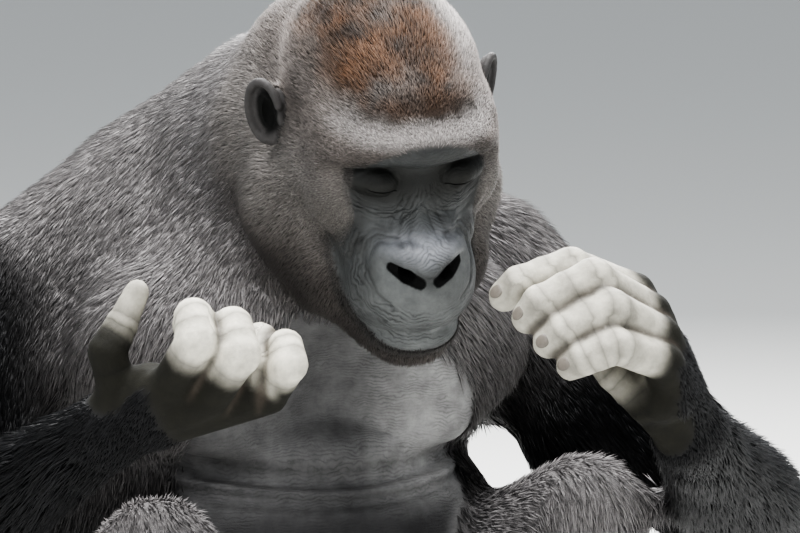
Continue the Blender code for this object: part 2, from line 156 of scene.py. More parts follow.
# closed masses of clay, to be melted into one surface
def ball(bm, centre, radii, turn=(0, 0, 0), frame=Matrix.Identity(4), detail=4):
    radii = (radii,) * 3 if isinstance(radii, float) else radii
    spin = Matrix.Identity(4)
    for angle, axis in zip(turn, "XYZ"):
        spin = Matrix.Rotation(math.radians(angle), 4, axis) @ spin
    shape = frame @ Matrix.Translation(centre) @ spin @ Matrix.Diagonal((*radii, 1))
    bmesh.ops.create_icosphere(bm, subdivisions=detail, radius=1, matrix=shape)


def pair(bm, centre, radii, turn=(0, 0, 0), frame=Matrix.Identity(4)):
    for side in sides.values():
        ball(bm, across(centre, side), radii, (turn[0], turn[1] * side, turn[2] * side), frame)


def chain(bm, points, radii, frame=Matrix.Identity(4)):
    points = [frame @ Vector(p) for p in points]
    for point, radius in zip(points, radii):
        ball(bm, point, float(radius), detail=3)
    for i in range(len(points) - 1):
        along = points[i + 1] - points[i]
        turn = along.to_track_quat("Z", "Y").to_matrix().to_4x4()
        place = Matrix.Translation((points[i] + points[i + 1]) / 2) @ turn
        bmesh.ops.create_cone(bm, cap_ends=True, segments=28, radius1=radii[i], radius2=radii[i + 1],
                              depth=along.length, matrix=place)


def chainPair(bm, points, radii, frame=Matrix.Identity(4)):
    for side in sides.values():
        chain(bm, [across(p, side) for p in points], radii, frame)


def pieceOf(name, bm):
    bmesh.ops.triangulate(bm, faces=bm.faces[:])
    mesh = bpy.data.meshes.new(name)
    bm.to_mesh(mesh)
    bm.free()
    piece = bpy.data.objects.new(name, mesh)
    scene.collection.objects.link(piece)
    return piece


def settle(piece):
    bpy.context.view_layer.update()
    graph = bpy.context.evaluated_depsgraph_get()
    mesh = bpy.data.meshes.new_from_object(piece.evaluated_get(graph), depsgraph=graph)
    piece.modifiers.clear()
    piece.data = mesh
    return piece


def melt(piece, voxel, smoothing):
    remesh = piece.modifiers.new("melt", "REMESH")
    remesh.mode = "VOXEL"
    remesh.voxel_size = voxel
    smooth = piece.modifiers.new("smooth", "SMOOTH")
    smooth.iterations = smoothing
    return settle(piece)


def trianglesOf(mesh):
    return sum(len(p.vertices) - 2 for p in mesh.polygons)


thinning = {"roughness": 0.0004, "seed": 11, "steps": 10, "smoothing": 3}


def keepNothing(coords):
    return np.zeros(len(coords))


def thin(piece, triangles, keepOf=keepNothing, strength=1.5):
    # keepOf gives how far each point is spared, 0 to 1
    mesh = piece.data
    coords = coordsOf(mesh)
    keep = keepOf(coords)
    # a fine roughness, smoothed away again, keeps the facets even
    rough = np.random.default_rng(thinning["seed"]).normal(0, thinning["roughness"], len(coords)) * (1 - keep)
    setCoords(mesh, coords + normalsOf(mesh) * rough[:, None])
    group = piece.vertex_groups.new(name="spare")
    steps = thinning["steps"]
    for step in range(steps + 1):
        chosen = np.flatnonzero(np.round(keep * steps) == step)
        group.add(chosen.tolist(), 1 - step / steps, "REPLACE")
    facet = piece.modifiers.new("thin", "DECIMATE")
    facet.ratio = min(1.0, triangles / trianglesOf(mesh))
    facet.vertex_group = "spare"
    facet.vertex_group_factor = strength
    settle(piece)
    piece.vertex_groups.clear()
    coords = coordsOf(piece.data)
    setCoords(piece.data, blur(coords, edgesOf(piece.data), thinning["smoothing"], 1 - keepOf(coords)))
    return piece


def boolean(piece, others, operation):
    for other in others:
        step = piece.modifiers.new(operation, "BOOLEAN")
        step.operation = operation
        step.solver = "MANIFOLD"
        step.object = other
    settle(piece)
    for other in others:
        bpy.data.objects.remove(other)
    return piece


def coordsOf(mesh):
    coords = np.empty(len(mesh.vertices) * 3, np.float32)
    mesh.vertices.foreach_get("co", coords)
    return coords.reshape(-1, 3).astype(np.float64)


def setCoords(mesh, coords):
    mesh.vertices.foreach_set("co", coords.astype(np.float32).ravel())
    mesh.update()


def normalsOf(mesh):
    normals = np.empty(len(mesh.vertices) * 3, np.float32)
    mesh.vertices.foreach_get("normal", normals)
    return normals.reshape(-1, 3).astype(np.float64)


def edgesOf(mesh):
    edges = np.empty(len(mesh.edges) * 2, np.int32)
    mesh.edges.foreach_get("vertices", edges)
    return edges.reshape(-1, 2)


def blur(values, edges, rounds, weight=None):
    # averages a value per vertex with its neighbours'
    values = np.array(values, np.float64)
    flat = values.reshape(len(values), -1)
    first, second = edges.T
    degree = np.maximum(np.bincount(edges.ravel(), minlength=len(flat)), 1)
    for _ in range(rounds):
        for column in range(flat.shape[1]):
            old = flat[:, column]
            total = np.bincount(first, old[second], len(flat)) + np.bincount(second, old[first], len(flat))
            new = (old + total / degree) / 2
            flat[:, column] = new if weight is None else old + (new - old) * weight
    return flat.reshape(values.shape)


def ramp(value, low, high):
    t = np.clip((value - low) / (high - low), 0, 1)
    return t * t * (3 - 2 * t)


def smoothLine(line, steps=6):
    # a rounded line through the same points
    p = np.array([line[0], *line, line[-1]], np.float64)
    made = []
    for i in range(len(line) - 1):
        a, b, c, d = p[i:i + 4]
        for t in np.arange(steps) / steps:
            square, cube = (2 * a - 5 * b + 4 * c - d) * t**2, (3 * b - a - 3 * c + d) * t**3
            made.append(0.5 * (2 * b + (c - a) * t + square + cube))
    return made + [p[-1]]


def alongLine(points, line):
    # (distance to a polyline, length along it) for each point
    best = np.full(len(points), 9.0)
    where = np.zeros(len(points))
    start = 0.0
    for a, b in zip(line[:-1], line[1:]):
        a, b = np.array(a), np.array(b)
        span = np.linalg.norm(b - a)
        t = np.clip((points - a) @ (b - a) / span**2, 0, 1)
        gap = np.linalg.norm(points - a - t[:, None] * (b - a), axis=1)
        near = gap < best
        best[near] = gap[near]
        where[near] = (start + t * span)[near]
        start += span
    return best, where


def nodeTree(names):
    # a tree of the named solids, and which of them each of its faces is from
    corners, faces, owner = [], [], []
    for index, name in enumerate(names):
        mesh = frame["nodes"][name].data
        start = len(corners)
        corners.extend(v.co.copy() for v in mesh.vertices)
        for polygon in mesh.polygons:
            faces.append([start + i for i in polygon.vertices])
            owner.append(index)
    return BVHTree.FromPolygons(corners, faces), np.array(owner)


def ownersOf(points, tree, owner):
    return np.array([owner[tree.find_nearest(p)[2]] for p in points])


print("frame ready")

# the trunk and limbs, from the solids
bodyClay = {"swell": 0.0012, "voxel": 0.0048, "smoothing": 22, "toeSmoothing": 2, "triangles": 56000,
            "floorGap": 0.0004, "sparing": 4.0, "wristReach": 0.07, "soleHeight": 0.012}
coatDepth = {  # how far the skin lies inside the solids
    "neck": 0.010, "chest": 0.010, "belly": 0.008, "upper": 0.013, "forearm": 0.014,
    "thigh": 0.010, "shin": 0.009, "foot": 0.0015, "toe": 0.0, "big": 0.0, "wrist": 0.006, "sole": 0.0015,
}


def bodyShape():
    bm = bmesh.new()
    names = [name for name in fleshNodes if name not in handNodes + headNodes]
    for name in names:
        part = bmesh.new()
        part.from_mesh(frame["nodes"][name].data)
        bmesh.ops.remove_doubles(part, verts=part.verts[:], dist=1e-5)
        part.normal_update()
        for vertex in part.verts:
            vertex.co += vertex.normal * bodyClay["swell"]
        mesh = bpy.data.meshes.new("part")
        part.to_mesh(mesh)
        part.free()
        bm.from_mesh(mesh)
        bpy.data.meshes.remove(mesh)
    piece = melt(pieceOf("body", bm), bodyClay["voxel"], bodyClay["toeSmoothing"])
    raw = coordsOf(piece.data)
    smooth = piece.modifiers.new("smooth", "SMOOTH")
    smooth.iterations = bodyClay["smoothing"] - bodyClay["toeSmoothing"]
    mesh = settle(piece).data
    toes = ramp(-inBody(raw)[:, 1], 0.395, 0.430) * (1 - ramp(inBody(raw)[:, 2], 0.060, 0.085))
    setCoords(mesh, coordsOf(mesh) * (1 - toes[:, None]) + raw * toes[:, None])
    coords, normals, edges = coordsOf(mesh), normalsOf(mesh), edgesOf(mesh)
    labels = ownersOf(coords, *nodeTree(names))
    depths = np.array([coatDepth[name.split("_")[0]] for name in names])[labels]
    for side in sides:
        wrist = np.array(placed(body["wrist"][side]))
        near = np.linalg.norm(coords - wrist, axis=1) < bodyClay["wristReach"]
        depths = np.where(near, coatDepth["wrist"], depths)
    depths = depths * (1 - chestBare(inBody(coords)) * 0.8)
    depths = np.where(coords[:, 2] < bodyClay["soleHeight"], coatDepth["sole"], depths)
    depths = blur(depths, edges, 20) * (1 - 0.9 * toes) + bodyClay["swell"]
    coords -= normals * depths[:, None]
    coords = blur(coords, edges, 4, 1 - 0.8 * toes)
    coords[:, 2] = np.maximum(coords[:, 2], bodyClay["floorGap"])
    setCoords(mesh, coords)
    return thin(piece, bodyClay["triangles"], bodyKeep, bodyClay["sparing"])


def bodyKeep(coords):
    # spares the feet and the bare folds of the chest
    local = inBody(coords)
    y, z = local[:, 1], local[:, 2]
    feet = (0.7 + 0.25 * ramp(-y, 0.40, 0.43)) * (1 - ramp(z, 0.055, 0.080)) * ramp(-y, 0.26, 0.30)
    return np.maximum(feet, chestBare(local) * (1 - ramp(z, 0.49, 0.53)))


def chestBare(local):
    # 1 on the bare front of the chest and the folds below it, in the part's own frame
    x, y, z = local.T
    half = 0.150 - 0.100 * ramp(z, 0.52, 0.63)
    inside = 1 - ramp(np.abs(x), half - 0.020, half + 0.014)
    return ramp(-y, 0.02, 0.08) * ramp(z, 0.335, 0.385) * inside * (z < 0.66)


# the head
headClay = {"skullVoxel": 0.0035, "roughVoxel": 0.0022, "voxel": 0.0016, "smoothing": 3, "triangles": 76000,
            "sparing": 3.0, "depth": 0.0050, "faceDepth": 0.0005, "neckDepth": 0.012,
            "lid": (0.0195, 0.0148, 0.0142), "eye": 0.0130}


def faceBare(h):
    # 1 on the bare skin of the face, 0 where the coat begins
    x, y, z = h.T
    half = 0.071 - 0.011 * np.exp(-(((z + 0.042) / 0.028) ** 2))
    edge = np.abs(x / half) ** 3 + np.abs((z + 0.056) / 0.104) ** 3
    return (1 - ramp(edge, 0.70, 1.20)) * ramp(-y, 0.055, 0.075)


def addSkull(bm):
    f = headFrame
    # braincase, crest and forehead
    ball(bm, (0, 0.005, 0.032), (0.095, 0.125, 0.099), frame=f)
    ball(bm, (0, 0.022, 0.082), (0.056, 0.098, 0.064), frame=f)
    ball(bm, (0, -0.058, 0.046), (0.080, 0.052, 0.048), frame=f)
    # temples, corners and sides of the jaw, cheekbones
    pair(bm, (0.056, -0.012, -0.030), (0.046, 0.076, 0.080), frame=f)
    pair(bm, (0.080, 0.006, -0.092), (0.050, 0.062, 0.066), (0, 8, 0), frame=f)
    pair(bm, (0.060, -0.040, -0.128), (0.044, 0.062, 0.054), frame=f)
    pair(bm, (0.062, -0.066, -0.024), (0.036, 0.040, 0.052), frame=f)
    # middle of the face, brow and muzzle
    ball(bm, (0, -0.078, -0.030), (0.068, 0.046, 0.075), frame=f)
    pair(bm, (0.036, -0.080, -0.066), (0.036, 0.040, 0.046), frame=f)
    ball(bm, (0, -0.076, 0.060), (0.066, 0.036, 0.030), frame=f)
    ball(bm, (0, -0.104, -0.108), (0.064, 0.064, 0.060), frame=f)
    chainPair(bm, [(0.060, -0.015, -0.128), (0.020, -0.106, -0.156)], [0.045, 0.036], f)
    # the neck behind it
    for line, radii in (
        (((0, -0.190, 0.775), (0, 0.010, 0.705)), (0.110, 0.135)),
        (((0, -0.180, 0.840), (0, 0.030, 0.745)), (0.085, 0.095)),
        (((0, -0.235, 0.705), (0, -0.080, 0.650)), (0.080, 0.105)),
    ):
        chain(bm, [placed(p) for p in line], radii)


def addFace(bm):
    f = headFrame
    # the bar of the brow, from temple to temple
    half = [(0.081, -0.062, 0.008), (0.068, -0.087, 0.023), (0.051, -0.106, 0.0330), (0.030, -0.1165, 0.0380)]
    brow = half + [(0, -0.1170, 0.0340)] + [across(p, -1) for p in reversed(half)]
    ends = [0.0135, 0.0155, 0.0172, 0.0180]
    chain(bm, brow, [*ends, 0.0190, *reversed(ends)], f)
    ball(bm, (0, -0.080, 0.062), (0.062, 0.034, 0.027), frame=f)
    pair(bm, (0.066, -0.054, 0.024), (0.023, 0.040, 0.038), frame=f)
    # the outer rim of each eye hollow, down to the cheekbone
    chainPair(bm, [(0.077, -0.072, 0.004), (0.070, -0.083, -0.016),
                   (0.059, -0.092, -0.034), (0.042, -0.100, -0.047)], [0.0140, 0.0130, 0.0130, 0.0120], f)
    # bridge, widening into the pad over the nostrils
    chain(bm, [(0, -0.098, 0.022), (0, -0.103, -0.012), (0, -0.108, -0.038), (0, -0.122, -0.058)],
          [0.0150, 0.0140, 0.0170, 0.0180], f)
    ball(bm, (0, -0.134, -0.072), (0.030, 0.024, 0.022), frame=f)
    pair(bm, (0.019, -0.112, -0.049), (0.021, 0.020, 0.017), frame=f)
    # lips and chin
    ball(bm, (0, -0.124, -0.118), (0.053, 0.043, 0.032), frame=f)
    pair(bm, (0.034, -0.108, -0.116), (0.028, 0.040, 0.036), frame=f)
    ball(bm, (0, -0.124, -0.150), (0.044, 0.040, 0.021), frame=f)
    ball(bm, (0, -0.112, -0.168), (0.040, 0.040, 0.027), frame=f)


def addFeatures(bm):
    f = headFrame
    # closed lids over each eye
    pair(bm, body["eyePlace"], headClay["lid"], (0, -8, 0), f)
    pair(bm, (0.0385, -0.0985, -0.0010), (0.0275, 0.0202, 0.0170), frame=f)
    # the two lobes of the pad over the nostrils
    ball(bm, (0, -0.150, -0.0725), (0.0135, 0.0140, 0.0120), frame=f)
    chainPair(bm, [(0.006, -0.146, -0.066), (0.019, -0.1405, -0.0635), (0.032, -0.130, -0.068)],
              [0.0135, 0.0122, 0.0102], f)
    # the padded rim round each nostril
    chainPair(bm, [(0.035, -0.127, -0.066), (0.0395, -0.130, -0.081), (0.0345, -0.139, -0.0940),
                   (0.0220, -0.147, -0.0985), (0.0095, -0.151, -0.0940)],
              [0.0090, 0.0095, 0.0096, 0.0088, 0.0062], f)
    chain(bm, [(0, -0.150, -0.076), (0, -0.149, -0.096)], [0.0065, 0.0060], f)


def eyeHollows():
    bm = bmesh.new()
    pair(bm, (0.0390, -0.1340, 0.0010), (0.0290, 0.0230, 0.0170), (10, 0, -12), headFrame)
    return pieceOf("hollows", bm)


earShape = {"root": (0.096, 0.005, 0.010), "flare": 38, "lean": -12, "half": (0.0175, 0.0300), "rim": 0.0040}


def earFrame(side):
    # x away from the ear's hollow face, y back along it, z up
    root = Matrix.Translation(across(earShape["root"], side))
    flare = Matrix.Rotation(math.radians(-earShape["flare"] * side), 4, "Z")
    return headFrame @ root @ flare @ Matrix.Rotation(math.radians(earShape["lean"]), 4, "X")


def earArc(side, first, last, steps, size, out):
    wide, tall = earShape["half"][0] * size, earShape["half"][1] * size
    angles = [math.radians(first + (last - first) * i / (steps - 1)) for i in range(steps)]
    return [(out * side, 0.0150 + wide * math.cos(a), tall * math.sin(a)) for a in angles]


def addEars(bm):
    for side in sides.values():
        f = earFrame(side)
        rim = earArc(side, 165, -80, 15, 1.0, 0.0040)
        chain(bm, rim, [earShape["rim"]] * len(rim), f)
        fold = earArc(side, 110, -60, 9, 0.60, 0.0010)
        chain(bm, fold, np.linspace(0.0032, 0.0014, len(fold)), f)
        # the plate, its root, the lobe and the small flap before the opening
        ball(bm, (-0.0020 * side, 0.0150, 0), (0.0045, 0.0170, 0.0290), frame=f)
        ball(bm, (-0.0080 * side, 0.0060, 0), (0.0110, 0.0120, 0.0200), frame=f)
        ball(bm, (0.0020 * side, 0.0120, -0.0270), (0.0045, 0.0080, 0.0080), frame=f)
        ball(bm, (0.0020 * side, -0.0010, -0.0050), (0.0034, 0.0040, 0.0090), frame=f)


def earBowls():
    bm = bmesh.new()
    for side in sides.values():
        ball(bm, (0.0040 * side, 0.0115, -0.0020), (0.0080, 0.0075, 0.0150), frame=earFrame(side))
    return pieceOf("bowls", bm)


nostrilLines = [  # the middle line of each hollow, and its radii
    ([(0.0325, -0.1440, -0.0725), (0.0210, -0.1530, -0.0785), (0.0090, -0.1620, -0.0835)],
     [0.0040, 0.0060, 0.0050]),
    ([(0.0185, -0.1520, -0.0800), (0.0150, -0.1320, -0.0720)], [0.0072, 0.0084]),
]


faceCuts = {  # the slit between the lids, the play around each eye and the line of the mouth
    "slit": (0.0165, 0.0230, 0.0013), "slitTurn": (22, 3, -8), "eyeGap": 0.0004, "nostrilVoxel": 0.0010,
    "mouthHalf": 0.052, "mouthBack": -0.114, "mouthReach": 0.056, "mouthHeight": -0.136, "mouthDroop": 0.014,
    "mouthRadius": 0.0022, "mouthVoxel": 0.0009,
    "mouthEnd": 66, "mouthStep": 11,  # in degrees from the middle
}


def faceCutters():
    made = []
    c = faceCuts
    for side in sides.values():
        f = headFrame
        bm = bmesh.new()
        for line, radii in nostrilLines:
            chain(bm, [across(p, side) for p in line], radii, f)
        made.append(melt(pieceOf("nostril", bm), c["nostrilVoxel"], 3))
        bm = bmesh.new()
        ball(bm, across(body["eyePlace"], side), headClay["eye"] + c["eyeGap"], frame=f)
        made.append(pieceOf("socket", bm))
        bm = bmesh.new()
        nod, roll, turn = c["slitTurn"]
        ball(bm, across(body["eyePlace"], side), c["slit"], (nod, roll, turn * side), f)
        made.append(pieceOf("slit", bm))
    bm = bmesh.new()
    ring = []
    for angle in range(-c["mouthEnd"], c["mouthEnd"] + 1, c["mouthStep"]):
        a = math.radians(angle)
        droop = c["mouthDroop"] * (1 - math.cos(a))
        ring.append((c["mouthHalf"] * math.sin(a), c["mouthBack"] - c["mouthReach"] * math.cos(a),
                     c["mouthHeight"] - droop))
    chain(bm, ring, [c["mouthRadius"]] * len(ring), headFrame)
    made.append(melt(pieceOf("mouth", bm), c["mouthVoxel"], 2))
    return made


def headShape():
    bm = bmesh.new()
    addSkull(bm)
    rough = melt(pieceOf("rough", bm), headClay["skullVoxel"], 16)
    mesh = rough.data
    coords, normals, edges = coordsOf(mesh), normalsOf(mesh), edgesOf(mesh)
    # the coat takes its depth from all but the bare face, and more from the neck
    depth = headClay["depth"] * (1 - faceBare(inHead(coords))) + headClay["faceDepth"]
    depth = depth + headClay["neckDepth"] * ramp(inBody(coords)[:, 1], -0.13, -0.07)
    depth = blur(depth, edges, 6)
    setCoords(mesh, coords - normals * depth[:, None])
    bm = bmesh.new()
    bm.from_mesh(mesh)
    bpy.data.objects.remove(rough)
    addFace(bm)
    piece = melt(pieceOf("headSkin", bm), headClay["roughVoxel"], 12)
    boolean(piece, [eyeHollows()], "DIFFERENCE")
    bm = bmesh.new()
    bm.from_mesh(piece.data)
    bpy.data.objects.remove(piece)
    addFeatures(bm)
    addEars(bm)
    piece = melt(pieceOf("headSkin", bm), headClay["voxel"], headClay["smoothing"])
    bm = bmesh.new()
    bm.from_mesh(piece.data)
    # the neck ends inside the trunk
    cut = bmesh.ops.bisect_plane(bm, geom=bm.verts[:] + bm.edges[:] + bm.faces[:], clear_outer=True,
                                 plane_co=placed((0, -0.075, 0.7)), plane_no=(0, 1, -0.25))
    rim = [e for e in cut["geom_cut"] if isinstance(e, bmesh.types.BMEdge) and e.is_boundary]
    bmesh.ops.holes_fill(bm, edges=rim)
    bmesh.ops.triangulate(bm, faces=bm.faces[:])
    bm.to_mesh(piece.data)
    bm.free()
    thin(piece, headClay["triangles"], headKeep, headClay["sparing"])
    return boolean(piece, [earBowls(), *faceCutters()], "DIFFERENCE")


def headKeep(coords):
    # spares the face and the ears
    h = inHead(coords)
    face = 1 - ramp(np.linalg.norm((h - [0, -0.13, -0.06]) / [1.15, 1, 1.1], axis=1), 0.075, 0.115)
    ears = 1 - ramp(np.linalg.norm(np.abs(h) - [0.108, 0.004, 0.012], axis=1), 0.03, 0.04)
    return np.clip(np.maximum(face, ears * 0.9), 0, 1)


# the hands
handClay = {
    "voxel": 0.0019, "smoothing": 6, "triangles": 23000, "slim": 0.93,
    "wrist": 0.036, "palm": 0.028, "palmHollow": 0.012,
    # times the digit's own radii
    "shaft": (1.0, 0.96, 0.94, 1.0), "knuckle": 1.05, "joint": 1.03, "pad": 1.02,
}


def handShape(side):
    elbow, wrist = placed(body["elbow"][side]), placed(body["wrist"][side])
    bm = bmesh.new()
    chain(bm, [elbow.lerp(wrist, 0.80), wrist], [handClay["wrist"]] * 2)
    for name, joints in digits[side].items():
        joints = [placed(p) for p in joints]
        radii = [radius * handClay["slim"] for radius in digitRadii[name]]
        chain(bm, [wrist.lerp(joints[0], 0.2), joints[0]], [handClay["palm"], radii[0] * handClay["knuckle"]])
        chain(bm, joints, [radius * scale for radius, scale in zip(radii, handClay["shaft"])])
        ball(bm, joints[1], radii[1] * handClay["joint"])
        ball(bm, joints[2], radii[2] * handClay["joint"])
        ball(bm, joints[1].lerp(joints[2], 0.5), (radii[1] + radii[2]) / 2 * handClay["pad"])
    # the palm, hollowed towards the fingertips
    index, little = (placed(digits[side][n][0]) for n in ("index", "little"))
    tips = (placed(digits[side]["middle"][3]) + placed(digits[side]["ring"][3])) / 2
    inward = (tips - (index + little) / 2).normalized() * handClay["palmHollow"]
    chain(bm, [wrist.lerp(index, 0.55) + inward, wrist.lerp(little, 0.55) + inward], [handClay["palm"]] * 2)
    piece = melt(pieceOf(f"hand_{side}_skin", bm), handClay["voxel"], handClay["smoothing"])
    return thin(piece, handClay["triangles"])


skin = boolean(bodyShape(), [headShape(), handShape("left"), handShape("right")], "UNION")
skin.name = skin.data.name = "skin"


def softenSeams():
    # where the neck and the forearms meet the trunk's skin
    mesh = skin.data
    coords, edges = coordsOf(mesh), edgesOf(mesh)
    local = inBody(coords)
    band = 1 - ramp(np.abs((local - [0, -0.09, 0.74]) @ [0, 0.97, -0.24]), 0.025, 0.050)
    band = band * ramp(np.linalg.norm(local - [0, -0.09, 0.62], axis=1), 0.02, 0.04)
    band = band * ramp(local[:, 2], 0.60, 0.64)
    band = band * (np.abs(local[:, 0]) < 0.16)
    for side in sides:
        wrist, elbow = Vector(body["wrist"][side]), Vector(body["elbow"][side])
        seam = np.linalg.norm(local - np.array(elbow.lerp(wrist, 0.93)), axis=1)
        band = np.maximum(band, 1 - ramp(seam, 0.045, 0.065))
    setCoords(mesh, blur(coords, edges, 40, band))


softenSeams()
print("skin joined:", trianglesOf(skin.data), "triangles")


def eyePiece(side):
    bm = bmesh.new()
    ball(bm, across(body["eyePlace"], sides[side]), headClay["eye"], frame=headFrame)
    piece = pieceOf(f"eyeball_{side}", bm)
    piece.data.shade_smooth()
    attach(piece, "root")
    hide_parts(f"eye_{side}")
    return piece


eyes = [eyePiece(side) for side in sides]


# the nails
nailSize = {"finger": (0.0072, 0.0062, 0.0020), "toe": (0.0085, 0.0065, 0.0026)}


def addNail(bm, place, ahead, outward, radii):
    # ahead is the way the digit points, outward the way its nail faces
    turn = Matrix((ahead, outward.cross(ahead), outward)).transposed().to_4x4()
    ball(bm, (0, 0, 0), radii, frame=Matrix.Translation(place) @ turn, detail=3)


def nailPiece():
    bm = bmesh.new()
    mesh = skin.data
    surface = BVHTree.FromPolygons([v.co for v in mesh.vertices], [p.vertices for p in mesh.polygons])
    for side in sides:
        for name, joints in digits[side].items():
            before, last, tip = (placed(p) for p in joints[1:])
            ahead = (tip - last).normalized()
            outward = (last - before).normalized()
            outward = (outward - ahead * outward.dot(ahead)).normalized()
            radius = digitRadii[name][3] * handClay["slim"]
            addNail(bm, tip + outward * radius * 0.93, ahead, outward, nailSize["finger"])
        for node in fleshNodes:
            if node.startswith(("toe", "big")) and node.endswith(side):
                points = coordsOf(frame["nodes"][node].data)
                ahead = points.mean(0) - np.array(placed(body["ankle"], sides[side]))
                ahead = unit(ahead * [1, 1, 0])
                reach = points @ ahead
                end = points[reach > reach.max() - 0.010].mean(0)
                top = Vector((*end[:2], points[:, 2].max() + 0.004))
                near, outward = surface.find_nearest(top)[:2]
                way = Vector(ahead)
                way = (way - outward * way.dot(outward)).normalized()
                addNail(bm, near, way, outward, nailSize["toe"])
    piece = pieceOf("nails", bm)
    piece.data.shade_smooth()
    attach(piece, "root")
    return piece


nails = nailPiece()


# how the coat lies on each region: length in m, width in m, tufts per cm2, lift in degrees
coatStyle = {
    "head": (0.0140, 0.0008, 66, 13),
    "neck": (0.0200, 0.0012, 28, 13),
    "chest": (0.0230, 0.0013, 18, 12),
    "belly": (0.0240, 0.0017, 4.2, 12),
    "upper": (0.0300, 0.0014, 15.5, 12),
    "forearm": (0.0330, 0.0015, 15, 14),
    "hand": (0.0110, 0.0010, 22, 15),
    "thigh": (0.0220, 0.0015, 7.4, 12),
    "shin": (0.0210, 0.0015, 7.4, 12),
    "foot": (0.0100, 0.0013, 9, 12),
}
regionNames = list(coatStyle)


def regionOf(node):
    word = node.split("_")[0]
    if word == "ear":
        return "head"
    if word in ("toe", "big"):
        return "foot"
    return word if word in coatStyle else "hand"


def bodyPoint(key, side):
    place = body[key]
    return np.array(place[side]) if isinstance(place, dict) else np.array(place) * [sides[side], 1, 1]


def limbWay(first, second, side):
    return unit(bodyPoint(second, side) - bodyPoint(first, side))


def combOf(region, local, h, normals):
    # the way the coat lies, before it is laid along the skin
    x = local[:, 0]
    ones = np.ones(len(local))

    def limb(first, second, extra):
        left, right = (limbWay(first, second, side) for side in sides)
        return np.where((x > 0)[:, None], left, right) + extra

    if region == "head":
        away = unit(h - [0, -0.135, 0.028])
        lower = ramp(-h[:, 2], -0.01, 0.06)[:, None]
        way = away + (1 - lower) * [0, 0.7, 0.0] + lower * [0, 0.25, -0.75]
        return way @ np.array(headSpin).T
    if region == "neck":
        return np.stack([3.5 * x, ones, -0.8 * ones], 1)
    if region == "chest":
        behind = ramp(normals[:, 1], -0.2, 0.4)
        return np.stack([3.0 * x, 0.5 * behind, -ones], 1)
    if region == "belly":
        return np.stack([-1.5 * x, -0.3 * ones, -ones], 1)
    if region == "upper":
        return limb("shoulder", "elbow", [0, 0, -0.35])
    if region == "forearm":
        return limb("wrist", "elbow", [0, 0.1, -0.35])
    if region == "hand":
        return limb("wrist", "elbow", [0, 0, -0.6])
    if region == "thigh":
        return limb("hip", "knee", [0, 0, -0.5])
    if region == "shin":
        return limb("knee", "ankle", [0, 0.15, 0])
    return np.stack([0.3 * np.sign(x), -ones, -0.2 * ones], 1)


handHair = {"left": (0.60, 0.95), "right": (0.30, 0.60)}  # where the hair of the hand's back ends


def handBare(local, normals):
    # 1 on palms and digits, 0 on the hairy back of the hand
    bare = np.ones(len(local))
    for side in sides:
        fingers = [joints for name, joints in digits[side].items() if name != "thumb"]
        knuckles, tips = (np.array([joints[end] for joints in fingers]) for end in (0, 3))
        wrist = bodyPoint("wrist", side)
        reach = unit(knuckles.mean(0) - wrist)
        palm = tips.mean(0) - knuckles.mean(0)
        palm = unit(palm - (palm @ reach) * reach)
        along = (local - wrist) @ reach / np.linalg.norm(knuckles.mean(0) - wrist)
        hairy = ramp(-(normals @ palm), -0.1, 0.35) * (1 - ramp(along, *handHair[side]))
        hairy = np.maximum(hairy, 1 - ramp(along, 0.05, 0.30))
        for name, joints in digits[side].items():
            start = 0.2 if name == "thumb" else 0.5
            first = np.array(joints[0]) * (1 - start) + np.array(joints[1]) * start
            reach = alongLine(local, [first, *joints[1:]])[0]
            hairy = hairy * ramp(reach, 0.024, 0.034)
        root = np.array(digits[side]["thumb"][0])
        thumb = alongLine(local, [wrist + 0.45 * (root - wrist), root])[0]
        hairy = hairy * ramp(thumb, 0.020, 0.032)
        bare = np.where(np.linalg.norm(local - wrist, axis=1) < 0.25, 1 - hairy, bare)
    return bare


tones = {  # linear colours
    "headTip": (0.21, 0.185, 0.170),
    "rufous": (0.105, 0.056, 0.032),
    "deepBrown": (0.024, 0.017, 0.013),
    "paleLitTip": (0.40, 0.375, 0.360),
    "cheekTip": (0.34, 0.315, 0.295),
    # the shoulders', neck's and chest's own grey tips, lightened further by painted sheen
    "shoulderSheenTip": (0.40, 0.378, 0.375),
    "saddleTip": (0.17, 0.165, 0.16),
    "lowerBack": (0.060, 0.056, 0.054),
    # the arms' own near-black coat, darkened further by painted shade
    "armTip": (0.014, 0.014, 0.0155),
    "bellyTip": (0.024, 0.022, 0.022),
    "legTip": (0.085, 0.082, 0.084),
    "underCoat": (0.012, 0.011, 0.011),
    "face": (0.060, 0.063, 0.063),
    "muzzle": (0.105, 0.110, 0.109),
    # painted highlight for the top of the nose pad
    "pad": (0.30, 0.31, 0.335),
    "ear": (0.050, 0.047, 0.046),
    # the near-black of the painted shade in the eye hollows, ear bowls, nostrils and folds
    "socket": (0.007, 0.0072, 0.006),
    "chest": (0.110, 0.108, 0.108),
    "chestLitSide": (0.38, 0.375, 0.370),
    "belly": (0.026, 0.0255, 0.026),
    "palm": (0.0085, 0.0080, 0.0048),
    "finger": (0.60, 0.57, 0.485),
    "gapShade": (0.050, 0.040, 0.031),
}
regionTips = {
    "head": "headTip", "neck": "shoulderSheenTip", "chest": "shoulderSheenTip", "belly": "bellyTip", "upper": "armTip",
    "forearm": "armTip", "hand": "armTip", "thigh": "legTip", "shin": "legTip", "foot": "legTip",
}


def groove(h, line, width):
    # 1 along a line over the face, seen from in front: x and z of the head's axes
    flat = np.stack([np.abs(h[:, 0]), np.zeros(len(h)), h[:, 2]], 1)
    reach = alongLine(flat, [(x, 0, z) for x, z in line])[0]
    return np.exp(-((reach / width) ** 2)) * (h[:, 1] < -0.05)


def arc(centre, radii, first, last, steps=9):
    angles = [math.radians(first + (last - first) * i / (steps - 1)) for i in range(steps)]
    return [(centre[0] + radii[0] * math.cos(a), centre[1] + radii[1] * math.sin(a)) for a in angles]


